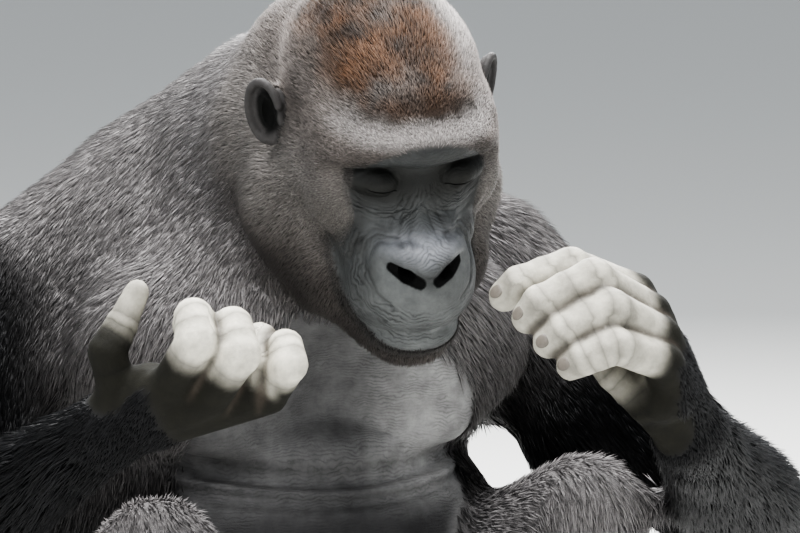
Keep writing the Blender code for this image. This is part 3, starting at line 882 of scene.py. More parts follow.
faceLines = [  # line, width and depth of each fold cut into the face
    (arc((0.0380, -0.001), (0.0230, 0.0135), 25, 150), 0.0013, 0.0005),
    (arc((0.0380, -0.004), (0.0235, 0.0155), -160, -25), 0.0012, 0.0006),
    (arc((0.0375, -0.006), (0.0260, 0.0215), -165, -30), 0.0012, 0.0006),
    (arc((0.0365, -0.010), (0.0275, 0.0250), -168, -45), 0.0012, 0.0006),
    (arc((0.0350, -0.014), (0.0280, 0.0290), -170, -55), 0.0013, 0.0005),
    ([(0.022, -0.052), (0.036, -0.052), (0.048, -0.062), (0.0515, -0.080), (0.046, -0.098), (0.034, -0.107)],
     0.0018, 0.0013),
    ([(0.030, -0.045), (0.044, -0.050), (0.057, -0.066), (0.0595, -0.085)], 0.0016, 0.0013),
    ([(0.053, -0.060), (0.063, -0.085), (0.066, -0.112)], 0.0030, 0.0010),
    ([(0.010, -0.014), (0.016, -0.032), (0.022, -0.047)], 0.0015, 0.0012),
    ([(0.016, -0.012), (0.022, -0.028), (0.031, -0.042)], 0.0015, 0.0010),
    ([(0.006, -0.030), (0.010, -0.042), (0.014, -0.053)], 0.0013, 0.0009),
    ([(0.000, 0.061), (0.030, 0.062), (0.050, 0.057)], 0.0030, 0.0035),
]
chestFolds = {  # x and z of each fold, in the part's own frame
    "upper": [(-0.160, 0.474), (-0.094, 0.459), (-0.037, 0.453), (0.023, 0.451), (0.095, 0.455),
              (0.160, 0.468)],
    "lower": [(-0.150, 0.440), (-0.079, 0.433), (0.0, 0.427), (0.086, 0.429), (0.160, 0.436)],
    "between": [(-0.130, 0.448), (-0.060, 0.441), (0.03, 0.438), (0.110, 0.442)],
    "last": [(-0.120, 0.424), (-0.030, 0.417), (0.06, 0.418), (0.130, 0.425)],
}
chestSwells = {  # how high and wide the skin swells above the fold, and how deep and wide it sinks below
    "upper": (0.010, 0.020, 0.012, 0.010),
    "lower": (0.004, 0.006, 0.004, 0.005),
}
chestCuts = {  # width and depth
    "upper": (0.0035, 0.0035), "lower": (0.0025, 0.0025),
    "between": (0.0022, 0.0018), "last": (0.0025, 0.0020),
}


def mix(first, second, amount):
    return first + (np.asarray(second) - first) * amount[:, None]


def bell(points, centre, radii=1.0):
    # 1 at the centre, fading outwards
    return np.exp(-(np.linalg.norm((points - centre) / radii, axis=-1) ** 2))


def stripe(value, centre, width):
    return np.exp(-(((value - centre) / width) ** 2))


def noiseAt(points, scale, fineScale, fine):
    coarse, close = ([noise.noise(Vector(p) * size) for p in points] for size in (scale, fineScale))
    return np.array(coarse) + fine * np.array(close)


class SkinStudy:
    # what is worked out for each point of the skin: its region, its coat, its colour and its folds
    def __init__(self, mesh):
        self.coords, self.normals, self.edges = coordsOf(mesh), normalsOf(mesh), edgesOf(mesh)
        self.local, self.head = inBody(self.coords), inHead(self.coords)
        regions = np.array([regionNames.index(regionOf(name)) for name in fleshNodes])
        self.labels = regions[ownersOf(self.coords, *nodeTree(fleshNodes))]
        self.shares = blur(np.eye(len(regionNames))[self.labels], self.edges, 14)
        self.shares /= self.shares.sum(1, keepdims=True)
        self.share = dict(zip(regionNames, self.shares.T))
        self.fold, self.foldDepth = np.zeros(len(self.coords)), np.zeros(len(self.coords))
        self.wander = np.ones(len(self.coords))

    def paint(self, colour, amount):
        self.tone = mix(self.tone, colour, amount)

    def shade(self, amount):
        self.tone = self.tone * (1 - amount)[:, None]

    def addFold(self, where, phase):
        self.fold = np.where(where, phase, self.fold)

    def deepen(self, depth):
        self.foldDepth = np.maximum(self.foldDepth, depth)


def lieOfCoat(s):
    combs = [unit(combOf(name, s.local, s.head, s.normals)) * s.share[name][:, None] for name in regionNames]
    comb = blur(sum(combs), s.edges, 8)
    return unit(comb - s.normals * np.sum(comb * s.normals, 1, keepdims=True))


def findBareSkin(s):
    s.face = faceBare(s.head) * s.share["head"]
    s.ear, s.bowl = np.zeros(len(s.coords)), np.zeros(len(s.coords))
    for side in sides.values():
        e = np.c_[s.coords, np.ones(len(s.coords))] @ np.array(earFrame(side).inverted()).T
        out = e[:, 0] * side
        reach = np.linalg.norm((e[:, 1:3] - [0.0150, 0]) / [0.0225, 0.0350], axis=1)
        inside = (1 - ramp(reach, 1.0, 1.15)) * ramp(out, -0.0110, -0.0060) * (out < 0.02)
        s.ear = np.maximum(s.ear, inside)
        reach = np.linalg.norm((e[:, 1:3] - [0.0120, 0.000]) / [0.0135, 0.0245], axis=1)
        s.bowl = np.maximum(s.bowl, (1 - ramp(reach, 0.75, 1.05)) * s.ear)
    s.front = s.share["chest"] + s.share["belly"]
    s.chest = chestBare(s.local) * s.front * ramp(-s.normals[:, 1], -0.2, 0.3)
    hand = handBare(s.local, s.normals) * s.share["hand"]
    under = np.maximum(1 - ramp(s.normals[:, 2], -0.1, 0.4), ramp(-s.local[:, 1], 0.44, 0.47))
    s.palm = np.maximum(hand, s.share["foot"] * under)
    bare = np.clip(np.maximum.reduce([s.face, s.ear, s.chest, s.palm]), 0, 1)
    s.bare = np.maximum(bare, 1 - ramp(s.coords[:, 2], 0.004, 0.008))


tuftLimits = {"shortest": 0.0015, "floorGap": 0.0015, "faceEdge": 0.34, "faceSlim": 0.42, "faceDense": 0.9}


def sizeTufts(s, comb):
    style = s.shares @ np.array([coatStyle[name] for name in regionNames], np.float64)
    length, width, density, lift = style.T
    onHead = s.share["head"]
    # shorter and finer at the face's edge and on the brow
    nearFace = np.linalg.norm(s.head - [0, -0.11, -0.03], axis=1)
    short = tuftLimits["faceEdge"] + (1 - tuftLimits["faceEdge"]) * ramp(nearFace, 0.085, 0.165)
    length = length * (1 - onHead + onHead * short)
    # a tuft that points down ends above the floor
    room = (s.coords[:, 2] - tuftLimits["floorGap"]) / np.maximum(0.25 - comb[:, 2], 0.25)
    s.length = np.clip(np.minimum(length, room), tuftLimits["shortest"], None)
    s.width = width * (1 - onHead * tuftLimits["faceSlim"] * (1 - ramp(nearFace, 0.08, 0.14)))
    density = density * (1 + onHead * tuftLimits["faceDense"] * (1 - ramp(nearFace, 0.09, 0.16)))
    density *= 1 - 0.35 * s.share["chest"] * ramp(s.local[:, 1], 0.10, 0.20)
    s.density = density * (1 - ramp(s.bare, 0.35, 0.9))
    s.lift = np.radians(lift)


def tipTones(s):
    x, y, z = s.head.T
    sideways, behind, up = s.local.T
    share, onHead, face = s.share, s.share["head"], s.face
    tip = sum(np.outer(share[name], tones[tone]) for name, tone in regionTips.items())
    # the cheeks' paler coat fades out lower down
    cheekFade = 1 - 0.85 * ramp(-z, 0.06, 0.12)
    tip = mix(tip, tones["cheekTip"], onHead * ramp(-z, -0.03, 0.03) * cheekFade)
    # the warm crown, in patches
    crown = onHead * ramp(z, 0.056, 0.072) * (1 - ramp(np.abs(x + 0.006), 0.050, 0.088))
    crown *= 1 - ramp(y, 0.03, 0.09)
    cloud = noiseAt(s.head, 26, 70, 0.5)
    wisp = noiseAt(s.head, 110, 240, 0.6)
    patches = np.clip(0.38 + 1.2 * wisp + 0.5 * cloud, 0, 1)
    warm = mix(np.tile(tones["deepBrown"], (len(z), 1)), tones["rufous"], patches)
    tip = mix(tip, warm, crown * np.clip(0.92 + 0.8 * cloud - 0.55 * ramp(x, 0.0, 0.07), 0, 1))
    tip = tip * (1 + 0.30 * cloud[:, None] * onHead[:, None])
    tip = tip * (1 - 0.5 * onHead * ramp(-z, 0.07, 0.13))[:, None]
    # the brow's pale coat, partly its own colour and partly a painted highlight on its lit top; above it a
    # dark line of painted shade in the groove, and a warm line
    brow = onHead * ramp(z, 0.036, 0.046) * (1 - ramp(z, 0.057, 0.063)) * ramp(-y, 0.06, 0.09)
    tip = mix(tip, tones["paleLitTip"], brow * 0.8)
    middle = onHead * (1 - ramp(np.abs(x), 0.036, 0.054)) * ramp(-y, 0.05, 0.07)
    tip = mix(tip, tones["deepBrown"], middle * stripe(z, 0.0605, 0.0030) * 0.9)
    tip = mix(tip, tones["rufous"], middle * stripe(z, 0.0665, 0.0035) * 0.6)
    tip = mix(tip, tones["face"], onHead * ramp(face, 0.04, 0.40) * (1 - ramp(z, 0.020, 0.036)) * 0.45)
    # painted light on the top of the crown on the head's left side
    tip = mix(tip, tones["paleLitTip"], onHead * ramp(x, 0.020, 0.070) * ramp(z, 0.060, 0.100) * 0.8)
    # the back and the flanks, darker low down, and painted sheen on the knees and on the tops of the arms
    lower = s.front * ramp(behind, 0.02, 0.12) * (1 - ramp(up, 0.36, 0.62))
    tip = mix(tip, tones["lowerBack"], lower)
    flank = share["chest"] * ramp(-behind, -0.02, 0.06) * (1 - ramp(up, 0.52, 0.64))
    tip = mix(tip, tones["lowerBack"], flank * 0.45)
    saddle = share["chest"] * ramp(behind, 0.10, 0.2) * (1 - ramp(up, 0.52, 0.66))
    tip = mix(tip, tones["saddleTip"], saddle * 0.7)
    knee = np.maximum.reduce([bell(s.local, bodyPoint("knee", side), 0.11) for side in sides])
    tip = mix(tip, tones["shoulderSheenTip"], knee * (share["thigh"] + share["shin"]) * 0.9)
    armTop = np.where(sideways > 0, ramp(up, 0.50, 0.64), ramp(up, 0.62, 0.80))
    return mix(tip, tones["shoulderSheenTip"], share["upper"] * armTop * 0.95)


def paintBareSkin(s):
    x, z = s.head[:, 0], s.head[:, 2]
    onHead, face, chest = s.share["head"], s.face, s.chest
    s.tone = np.tile(np.array(tones["underCoat"]), (len(z), 1))
    s.paint(tones["face"], face)
    s.paint(tones["muzzle"], face * ramp(-z, 0.050, 0.085))
    s.paint(tones["ear"], s.ear)
    # painted shade in the hollow of each ear
    s.paint(np.array(tones["socket"]) * 0.3, s.bowl)
    s.paint(tones["chest"], chest)
    # painted light on the chest's left side, which faces the light
    s.paint(tones["chestLitSide"], chest * ramp(s.local[:, 0], 0.01, 0.10) * 0.9)
    # the lower chest below the folds is darker: partly its own skin, partly painted shade
    s.paint(tones["belly"], chest * (1 - ramp(s.local[:, 2], 0.395, 0.455)))
    # palms and soles: their own dark skin, darkened further by painted shade on these downward faces
    s.paint(tones["palm"], s.palm)
    # painted highlight: the top of the nose pad is lightened far above the face's skin
    pad = onHead * bell(s.head, [0, -0.143, -0.0565], [0.034, 0.030, 0.0115])
    s.paint(tones["pad"], pad)
    # painted shade on the lower sides of the muzzle, in the hollows of the cheeks and on the strip under the
    # brow; the skin between the nostrils is darkened too
    s.shade(0.35 * face * ramp(np.abs(x), 0.032, 0.060) * ramp(-z, 0.05, 0.09))
    s.shade(0.55 * face * ramp(np.abs(x), 0.040, 0.056) * stripe(z, -0.045, 0.034))
    s.shade(0.55 * onHead * bell(s.head, [0, -0.156, -0.080], [0.020, 0.022, 0.014]))
    s.shade(0.40 * face * ramp(z, 0.010, 0.020))
    s.rough = 0.60 - 0.26 * face - 0.06 * pad - 0.08 * chest + 0.25 * s.bowl + 0.22 * s.palm


digitFolds = {  # where the creases lie: before and after the knuckle, the middle joint and the end joint
    "left": lambda knuckle, middle: [0, knuckle - 0.008, knuckle + 0.005, knuckle + middle * 0.45,
                                     knuckle + middle - 0.004, knuckle + middle + 0.006],
    "right": lambda knuckle, middle: [0, knuckle - 0.016, knuckle + middle * 0.55,
                                      knuckle + middle - 0.002, knuckle + middle + 0.008],
}
# painted light: the finger tone of each hand, lighter on the lit right hand and darker on the shaded left
# hand
fingerPaintedLight = {"left": 0.78, "right": 1.08}


def studyHand(s, side):
    onHand = s.share["hand"]
    gaps = []
    for name, joints in digits[side].items():
        reach, where = alongLine(s.local, smoothLine(joints))
        where = blur(where, s.edges, 10)
        radius = digitRadii[name][0]
        close = (1 - ramp(reach, radius * 1.15, radius * 1.6)) * ramp(where, 0.006, 0.026)
        close *= onHand
        knuckle, middle = np.linalg.norm(np.diff(joints, axis=0), axis=1)[:2]
        pale = ramp(where, knuckle * 0.45, knuckle * 0.95)
        if side == "left":
            pale = 0.72 + 0.28 * ramp(where, 0.0, knuckle * 0.6)
        if name == "thumb":
            pale = 0.55 * ramp(where, knuckle * 1.2, knuckle * 2.2)
        s.paint(np.array(tones["finger"]) * fingerPaintedLight[side], close * pale)
        s.rough = s.rough - 0.20 * close * pale
        gaps.append(reach - radius * 0.89)
        spots = digitFolds[side](knuckle, middle) + [knuckle + middle + 0.06]
        s.addFold(close > 0.3, np.interp(where, spots, range(len(spots))) * 2 * math.pi - math.pi / 2)
        s.deepen(0.55 * close * ramp(where, 0.008, 0.02))
        s.wander = np.where(close > 0.3, 0, s.wander)
    # painted shade between digits that lie close together
    between = 1 - ramp(np.sort(gaps, axis=0)[1], 0.0005, 0.0085)
    s.paint(tones["gapShade"], between * onHand * 0.85)


# how close the fine wrinkles lie, in radians a metre
foldPitch = {"pouch": 1500, "lid": 1900, "lip": 1500, "bridge": 1900, "brow": 1700, "chest": 2000}


def studyEye(s, side):
    face, front = s.face, s.head[:, 1] < -0.06
    eye = np.array(across(body["eyePlace"], side))
    gap = (s.head - eye) / [1.0, 1.0, 0.85]
    ring = np.linalg.norm(gap[:, [0, 2]], axis=1)
    below = ramp(-gap[:, 2] / np.maximum(ring, 1e-6), -0.15, 0.5)
    pouch = face * below * ramp(ring, 0.014, 0.019) * (1 - ramp(ring, 0.036, 0.048)) * front
    s.addFold(pouch > 0.02, ring * foldPitch["pouch"])
    s.deepen(pouch)
    lids = face * (1 - below) * ramp(ring, 0.006, 0.010) * (1 - ramp(ring, 0.020, 0.026)) * front
    s.addFold((lids > 0.02) & (pouch < 0.02), ring * foldPitch["lid"])
    s.deepen(lids * 0.35)
    # painted shade: the eye hollow and the underside of the brow are darkened nearly to black
    hollow = (s.head - eye - [-0.004 * side, 0, 0.0010]) / [0.042, 0.045, 0.0240]
    socket = np.exp(-(np.linalg.norm(hollow, axis=1) ** 4))
    s.paint(tones["socket"], socket * s.share["head"])
    s.rough = s.rough + 0.22 * socket * face


def studyFace(s):
    x, z = s.head[:, 0], s.head[:, 2]
    onHead, face = s.share["head"], s.face
    for line, broad, deep in faceLines:
        cut = groove(s.head, line, broad) * onHead
        s.coords -= s.normals * (cut * deep)[:, None]
        # painted shade along each fold
        s.paint(tones["socket"], cut * face * 0.25)
    inside = np.zeros(len(z))
    for line, radii in nostrilLines:
        flat = s.head * np.where(x[:, None] < 0, [-1, 1, 1], 1)
        reach, where = alongLine(flat, line)
        stops = np.cumsum([0, *np.linalg.norm(np.diff(line, axis=0), axis=1)])
        inside = np.maximum(inside, 1 - ramp(reach - np.interp(where, stops, radii), 0.0002, 0.0012))
    # painted shade inside the nostrils
    s.paint(np.array(tones["socket"]) * 0.15, inside * onHead)
    s.rough = s.rough + 0.5 * inside * onHead
    nose = np.linalg.norm((s.head - [0, -0.14, -0.080]) / [1.1, 1.0, 0.9], axis=1)
    lip = face * ramp(nose, 0.040, 0.050) * (1 - ramp(nose, 0.075, 0.09)) * (z < -0.05)
    s.addFold((lip > 0.02) & (s.foldDepth < 0.02), nose * foldPitch["lip"])
    s.deepen(lip * 0.85)
    bridge = face * np.exp(-((x / 0.024) ** 4)) * ramp(-z, 0.012, 0.022) * (1 - ramp(-z, 0.066, 0.074))
    s.addFold((bridge > 0.02) & (s.foldDepth < 0.25), (z + 0.6 * np.abs(x)) * foldPitch["bridge"])
    s.deepen(bridge * 0.80)
    brow = face * ramp(z, 0.016, 0.024)
    s.addFold((brow > 0.02) & (s.foldDepth < 0.2), (z - 0.35 * np.abs(x)) * foldPitch["brow"])
    s.deepen(brow * 0.4)


def studyChest(s):
    x, y, z = s.local.T
    for name, (rise, over, sink, under) in chestSwells.items():
        line = chestFolds[name]
        level = z - np.interp(x, *zip(*line))
        near = 1 - ramp(np.abs(x), line[-1][0] - 0.035, line[-1][0] + 0.010)
        swell = rise * stripe(level, over, over) - sink * stripe(level, -under, under)
        facing = near * (y < -0.05) * s.front * ramp(-s.normals[:, 1], -0.2, 0.3)
        s.coords += s.normals * (swell * facing)[:, None]
    for name, (broad, deep) in chestCuts.items():
        reach = alongLine(s.local * [1, 0, 1], [(px, 0, pz) for px, pz in chestFolds[name]])[0]
        cut = stripe(reach, 0, broad) * (y < -0.05) * s.front
        s.coords -= s.normals * (cut * deep)[:, None]
        # painted shade along each fold of the chest
        s.paint(tones["socket"], cut * 0.35)
    s.addFold(s.chest > 0.3, z * foldPitch["chest"] + 200 * x**2)
    s.deepen(s.chest * 0.5)


def streakOf(s):
    # a place that hardly changes along the lie of the coat
    away = s.head - [0, -0.135, 0.028]
    streak = (unit(away) * 0.12 + away * 0.06) * s.share["head"][:, None]
    limbs = {"upper": ("shoulder", "elbow"), "forearm": ("elbow", "wrist"), "hand": ("elbow", "wrist"),
             "thigh": ("hip", "knee"), "shin": ("knee", "ankle")}
    for name in regionNames[1:]:
        for side, sign in sides.items():
            way = limbWay(*limbs[name], side) if name in limbs else unit([0, 0.35, -1])
            flat = s.local - 0.93 * np.outer(s.local @ way, way)
            streak += flat * (s.share[name] * (s.local[:, 0] * sign > 0))[:, None]
    return streak


def store(mesh, kind, field, **layers):
    for name, values in layers.items():
        layer = mesh.attributes.new(name, kind, "POINT")
        layer.data.foreach_set(field, np.ascontiguousarray(values, np.float32).ravel())


def studySkin():
    mesh = skin.data
    s = SkinStudy(mesh)
    comb = lieOfCoat(s)
    findBareSkin(s)
    sizeTufts(s, comb)
    tip = tipTones(s)
    paintBareSkin(s)
    for side, sign in sides.items():
        studyHand(s, side)
        studyEye(s, sign)
    studyFace(s)
    studyChest(s)
    setCoords(mesh, s.coords)
    store(mesh, "FLOAT", "value", coatLength=s.length, coatWidth=s.width, coatDensity=s.density * 10000,
          coatLift=s.lift, gloss=s.rough, cover=1 - ramp(s.bare, 0.25, 0.85), fold=s.fold,
          foldDepth=s.foldDepth, foldWander=s.wander)
    store(mesh, "FLOAT_VECTOR", "vector", comb=comb, streak=streakOf(s))
    opaque = np.ones((len(s.coords), 1))
    tip, tone = np.hstack([tip, opaque]), np.hstack([s.tone, opaque])
    store(mesh, "FLOAT_COLOR", "color", tipTone=tip, skinTone=tone)
    return s.labels


regionLabels = studySkin()
print("skin studied")


# the coat: tufts scattered over the skin
def tuftMesh():
    # a slim closed lock along x, widest a third of the way to its tip
    verts = [(0, 0, -0.6), (0.36, -0.5, 0.5), (0.36, 0.5, 0.5), (1, 0, 0)]
    faces = [(0, 2, 1), (1, 2, 3), (0, 1, 3), (0, 3, 2)]
    patch = [(-0.5, 0, 0), (-0.14, -0.4, 0), (-0.14, 0.4, 0), (0.5, 0, 0)]
    mesh = bpy.data.meshes.new("tuft")
    mesh.from_pydata(verts, [], faces)
    mesh.attributes.new("along", "FLOAT", "POINT").data.foreach_set("value", [v[0] for v in verts])
    mesh.attributes.new("patch", "FLOAT_VECTOR", "POINT").data.foreach_set("vector", np.array(patch).ravel())
    mesh.shade_smooth()
    return bpy.data.objects.new("tuft", mesh)


def addNode(tree, kind, settings=None, **inputs):
    # an input is named, or numbered as i0, i1 and so on
    node = tree.nodes.new(kind)
    for key, value in (settings or {}).items():
        setattr(node, key, value)
    for key, value in inputs.items():
        numbered = key[0] == "i" and key[1:].isdigit()
        fill(tree, node, int(key[1:]) if numbered else key, value)
    return node


def fill(tree, node, key, value):
    if isinstance(value, bpy.types.NodeSocket):
        tree.links.new(value, node.inputs[key])
    else:
        node.inputs[key].default_value = value


coatInputs = {  # kind of each input of the tree, and its value
    "Tuft": ("NodeSocketObject", None),
    "Density": ("NodeSocketFloat", 1.0),
    "Length": ("NodeSocketFloat", 1.0),
    "Width": ("NodeSocketFloat", 1.0),
    "Sway": ("NodeSocketFloat", 0.22),
    "Wave": ("NodeSocketFloat", 0.6),
    "Seed": ("NodeSocketInt", 1),
}
tuftChance = {  # lowest and highest, times a tuft's own length, width and lift; roll is in radians
    "length": (0.65, 1.25), "width": (0.7, 1.2), "lift": (-1.35, -0.55), "roll": (-0.5, 0.5),
}


def coatTree(material):
    tree = bpy.data.node_groups.new("coatTufts", "GeometryNodeTree")
    tree.interface.new_socket("Ground", in_out="INPUT", socket_type="NodeSocketGeometry")
    for name, (kind, value) in coatInputs.items():
        socket = tree.interface.new_socket(name, in_out="INPUT", socket_type=kind)
        if value is not None:
            socket.default_value = value
    tree.interface.new_socket("Coat", in_out="OUTPUT", socket_type="NodeSocketGeometry")

    def add(kind, settings=None, **inputs):
        return addNode(tree, kind, settings, **inputs)

    def named(name, kind="FLOAT"):
        return add("GeometryNodeInputNamedAttribute", {"data_type": kind}, Name=name).outputs["Attribute"]

    def maths(operation, first, second):
        return add("ShaderNodeMath", {"operation": operation}, i0=first, i1=second).outputs[0]

    def times(*values):
        product = values[0]
        for value in values[1:]:
            product = maths("MULTIPLY", product, value)
        return product

    def chance(low, high, seed):
        seed = maths("ADD", given["Seed"], seed)
        return add("FunctionNodeRandomValue", {"data_type": "FLOAT"}, i2=low, i3=high, Seed=seed).outputs[1]

    def rotated(rotation, **angles):
        angles = add("ShaderNodeCombineXYZ", None, **angles).outputs[0]
        item = add("FunctionNodeRotateRotation", {"rotation_space": "LOCAL"}, i0=rotation, i1=angles)
        return item.outputs[0]

    given = addNode(tree, "NodeGroupInput").outputs
    points = add("GeometryNodeDistributePointsOnFaces", {"distribute_method": "RANDOM"}, Mesh=given["Ground"],
                 Density=times(named("coatDensity"), given["Density"]), Seed=given["Seed"])
    # each tuft lies along the comb, swayed sideways and lifted off the skin
    facing = add("FunctionNodeAxesToRotation", {"primary_axis": "Z", "secondary_axis": "X"},
                 i0=points.outputs["Normal"], i1=named("comb", "FLOAT_VECTOR")).outputs[0]
    wave = add("ShaderNodeTexNoise", {"noise_dimensions": "3D"}, Scale=34.0, Detail=1.0,
               Vector=add("GeometryNodeInputPosition").outputs[0])
    wave = times(maths("SUBTRACT", wave.outputs[0], 0.5), given["Wave"])
    turned = rotated(facing, Z=maths("ADD", wave, times(chance(-1, 1, 1), given["Sway"])))
    lift = times(named("coatLift"), chance(*tuftChance["lift"], 2))
    lifted = rotated(turned, X=chance(*tuftChance["roll"], 3), Y=lift)
    length = times(named("coatLength"), chance(*tuftChance["length"], 4), given["Length"])
    width = times(named("coatWidth"), chance(*tuftChance["width"], 5), given["Width"])
    size = add("ShaderNodeCombineXYZ", None, X=length, Y=width, Z=times(width, 0.7)).outputs[0]
    tuft = add("GeometryNodeObjectInfo", None, Object=given["Tuft"]).outputs["Geometry"]
    tufts = add("GeometryNodeInstanceOnPoints", None, Points=points.outputs["Points"], Instance=tuft,
                Rotation=lifted, Scale=size).outputs[0]
    shade = add("GeometryNodeStoreNamedAttribute", {"data_type": "FLOAT", "domain": "INSTANCE"},
                Geometry=tufts, Name="shade", Value=chance(0.0, 1.0, 6)).outputs[0]
    real = add("GeometryNodeRealizeInstances", None, Geometry=shade).outputs[0]
    # each tuft has a small patch of its own on the map, beside its root's place
    patch = add("ShaderNodeVectorMath", {"operation": "SCALE"}, Scale=0.003,
                i0=named("patch", "FLOAT_VECTOR")).outputs[0]
    spot = add("ShaderNodeVectorMath", {"operation": "ADD"}, i0=named("rootMap", "FLOAT_VECTOR"),
               i1=patch).outputs[0]
    out = add("GeometryNodeStoreNamedAttribute", {"data_type": "FLOAT2", "domain": "CORNER"},
              Geometry=real, Name="OFBake", Value=spot).outputs[0]
    for name in ("comb", "coatLength", "coatWidth", "coatDensity", "coatLift", "rootMap", "patch", "fold",
                 "foldDepth", "foldWander", "gloss", "skinTone", "cover", "streak"):
        out = add("GeometryNodeRemoveAttribute", None, Geometry=out, Name=name).outputs[0]
    out = add("GeometryNodeSetMaterial", None, Geometry=out, Material=material).outputs[0]
    tree.links.new(out, tree.nodes.new("NodeGroupOutput").inputs[0])
    return tree


class Finish:
    # a new material, with short ways of adding its nodes
    def __init__(self, name):
        self.material = bpy.data.materials.new(name)
        self.material.use_nodes = True
        self.tree = self.material.node_tree

    def add(self, kind, settings=None, output=0, **inputs):
        return addNode(self.tree, kind, settings, **inputs).outputs[output]

    def stored(self, name, output="Fac"):
        return self.add("ShaderNodeAttribute", {"attribute_name": name}, output)

    def maths(self, operation, *values):
        numbered = {f"i{index}": value for index, value in enumerate(values)}
        return self.add("ShaderNodeMath", {"operation": operation}, **numbered)

    def remap(self, value, low, high, first, last):
        return self.add("ShaderNodeMapRange", Value=value, i1=low, i2=high, i3=first, i4=last)

    def cloud(self, place, scale, detail, roughness=0.5):
        return self.add("ShaderNodeTexNoise", Vector=place, Scale=scale, Detail=detail, Roughness=roughness)

    def scaled(self, colour, amount):
        return self.add("ShaderNodeVectorMath", {"operation": "SCALE"}, i0=colour, Scale=amount)

    def blend(self, amount, first, second):
        return self.add("ShaderNodeMix", {"data_type": "RGBA"}, 2, Factor=amount, i6=first, i7=second)

    def shader(self, values):
        for name, value in values.items():
            fill(self.tree, self.tree.nodes["Principled BSDF"], name, value)
        return self.material


coatLook = {"rootDark": 0.40, "darkest": 0.5, "lightest": 1.45, "roughness": 0.48, "specular": 0.22}


def coatFinish():
    coat = Finish("coat")
    tip = coat.stored("tipTone", "Color")
    amount = coat.add("ShaderNodeMapRange", {"interpolation_type": "SMOOTHSTEP"}, Value=coat.stored("along"),
                      i1=0.15, i2=0.9)
    lock = coat.blend(amount, coat.scaled(tip, coatLook["rootDark"]), tip)
    level = coat.remap(coat.stored("shade"), 0.0, 1.0, coatLook["darkest"], coatLook["lightest"])
    return coat.shader({"Base Color": coat.scaled(lock, level), "Roughness": coatLook["roughness"],
                        "Specular IOR Level": coatLook["specular"]})


skinLook = {
    "specular": 0.26, "bump": 0.7, "bumpHeight": 0.0007,
    "wander": 13.0,  # how far the wrinkles stray, in radians
    # how dark the painted shade in the wrinkles' valleys gets, and how high wrinkles, pores and hairs stand
    "wrinkleShade": 0.28, "wrinkleHeight": -1.6, "poreHeight": 1.2, "hairHeight": 2.5,
    "mottle": (0.72, 1.28), "underHairs": (0.34, 1.0),
}


def skinFinish():
    bare = Finish("skin")
    place = bare.add("ShaderNodeTexCoord", output="Object")
    foldWander, cover = bare.stored("foldWander"), bare.stored("cover")
    # wrinkles: narrow valleys between rounded swells, deeper in some patches, with painted shade in the
    # valleys
    bend = bare.remap(bare.cloud(place, 70.0, 4.0), 0.0, 1.0, -skinLook["wander"], skinLook["wander"])
    phase = bare.maths("ADD", bare.maths("MULTIPLY", bend, foldWander), bare.stored("fold"))
    swells = bare.maths("MULTIPLY_ADD", bare.maths("SINE", phase), 0.5, 0.5)
    valley = bare.maths("SUBTRACT", 1.0, bare.maths("POWER", swells, 0.3))
    patches = bare.remap(bare.cloud(place, 45.0, 2.0), 0.38, 0.62, 0.15, 1.0)
    patches = bare.maths("MAXIMUM", patches, bare.maths("SUBTRACT", 1.0, foldWander))
    valley = bare.maths("MULTIPLY", bare.maths("MULTIPLY", valley, patches), bare.stored("foldDepth"))
    # painted shade in the wrinkles' valleys
    valleyShade = bare.remap(valley, 0.0, 0.8, 1.0, skinLook["wrinkleShade"])
    mottle = bare.remap(bare.cloud(place, 60.0, 5.0, 0.65), 0.3, 0.7, *skinLook["mottle"])
    tone = bare.scaled(bare.stored("skinTone", "Color"), bare.maths("MULTIPLY", mottle, valleyShade))
    # under the coat, streaks of the coat's own colour
    hairs = bare.cloud(bare.stored("streak", "Vector"), 900.0, 3.0, 0.7)
    under = bare.scaled(bare.stored("tipTone", "Color"), bare.remap(hairs, 0.3, 0.7, *skinLook["underHairs"]))
    pores = bare.add("ShaderNodeTexVoronoi", {"feature": "DISTANCE_TO_EDGE"}, Vector=place, Scale=620.0)
    pores = bare.maths("MINIMUM", pores, 0.12)
    rise = bare.maths("MULTIPLY", valley, skinLook["wrinkleHeight"])
    rise = bare.maths("MULTIPLY_ADD", pores, skinLook["poreHeight"], rise)
    rise = bare.maths("ADD", rise, bare.cloud(place, 260.0, 4.0, 0.7))
    furred = bare.maths("MULTIPLY", hairs, cover)
    rise = bare.maths("MULTIPLY_ADD", furred, skinLook["hairHeight"], rise)
    bump = bare.add("ShaderNodeBump", Height=rise, Strength=skinLook["bump"], Distance=skinLook["bumpHeight"])
    return bare.shader({"Base Color": bare.blend(cover, tone, under), "Roughness": bare.stored("gloss"),
                        "Specular IOR Level": skinLook["specular"], "Normal": bump})


eyeLook = {"Base Color": (0.018, 0.009, 0.006, 1), "Roughness": 0.08}
nailLook = {"dark": (0.075, 0.066, 0.056, 1), "light": (0.21, 0.185, 0.155, 1), "roughness": 0.36,
            "onToes": 0.28}  # the toes' nails are darker


def nailFinish():
    nail = Finish("nail")
    place = nail.add("ShaderNodeTexCoord", output="Object")
    tone = nail.blend(nail.cloud(place, 160.0, 3.0), nailLook["dark"], nailLook["light"])
    height = nail.add("ShaderNodeSeparateXYZ", None, 2, i0=place)
    level = nail.remap(height, 0.15, 0.30, nailLook["onToes"], 1.0)
    return nail.shader({"Base Color": nail.scaled(tone, level), "Roughness": nailLook["roughness"]})


headBands = {"Crown": (0.028, 1.0), "Cheek": (-0.090, 0.028), "Jaw": (-1.0, -0.090)}  # heights in the head


def headPart(name, left=None):
    low, high = headBands[name]

    def test(points):
        h = inHead(points)
        inside = (h[:, 2] > low) & (h[:, 2] <= high)
        return inside if left is None else inside & ((h[:, 0] > 0) == left)

    return test


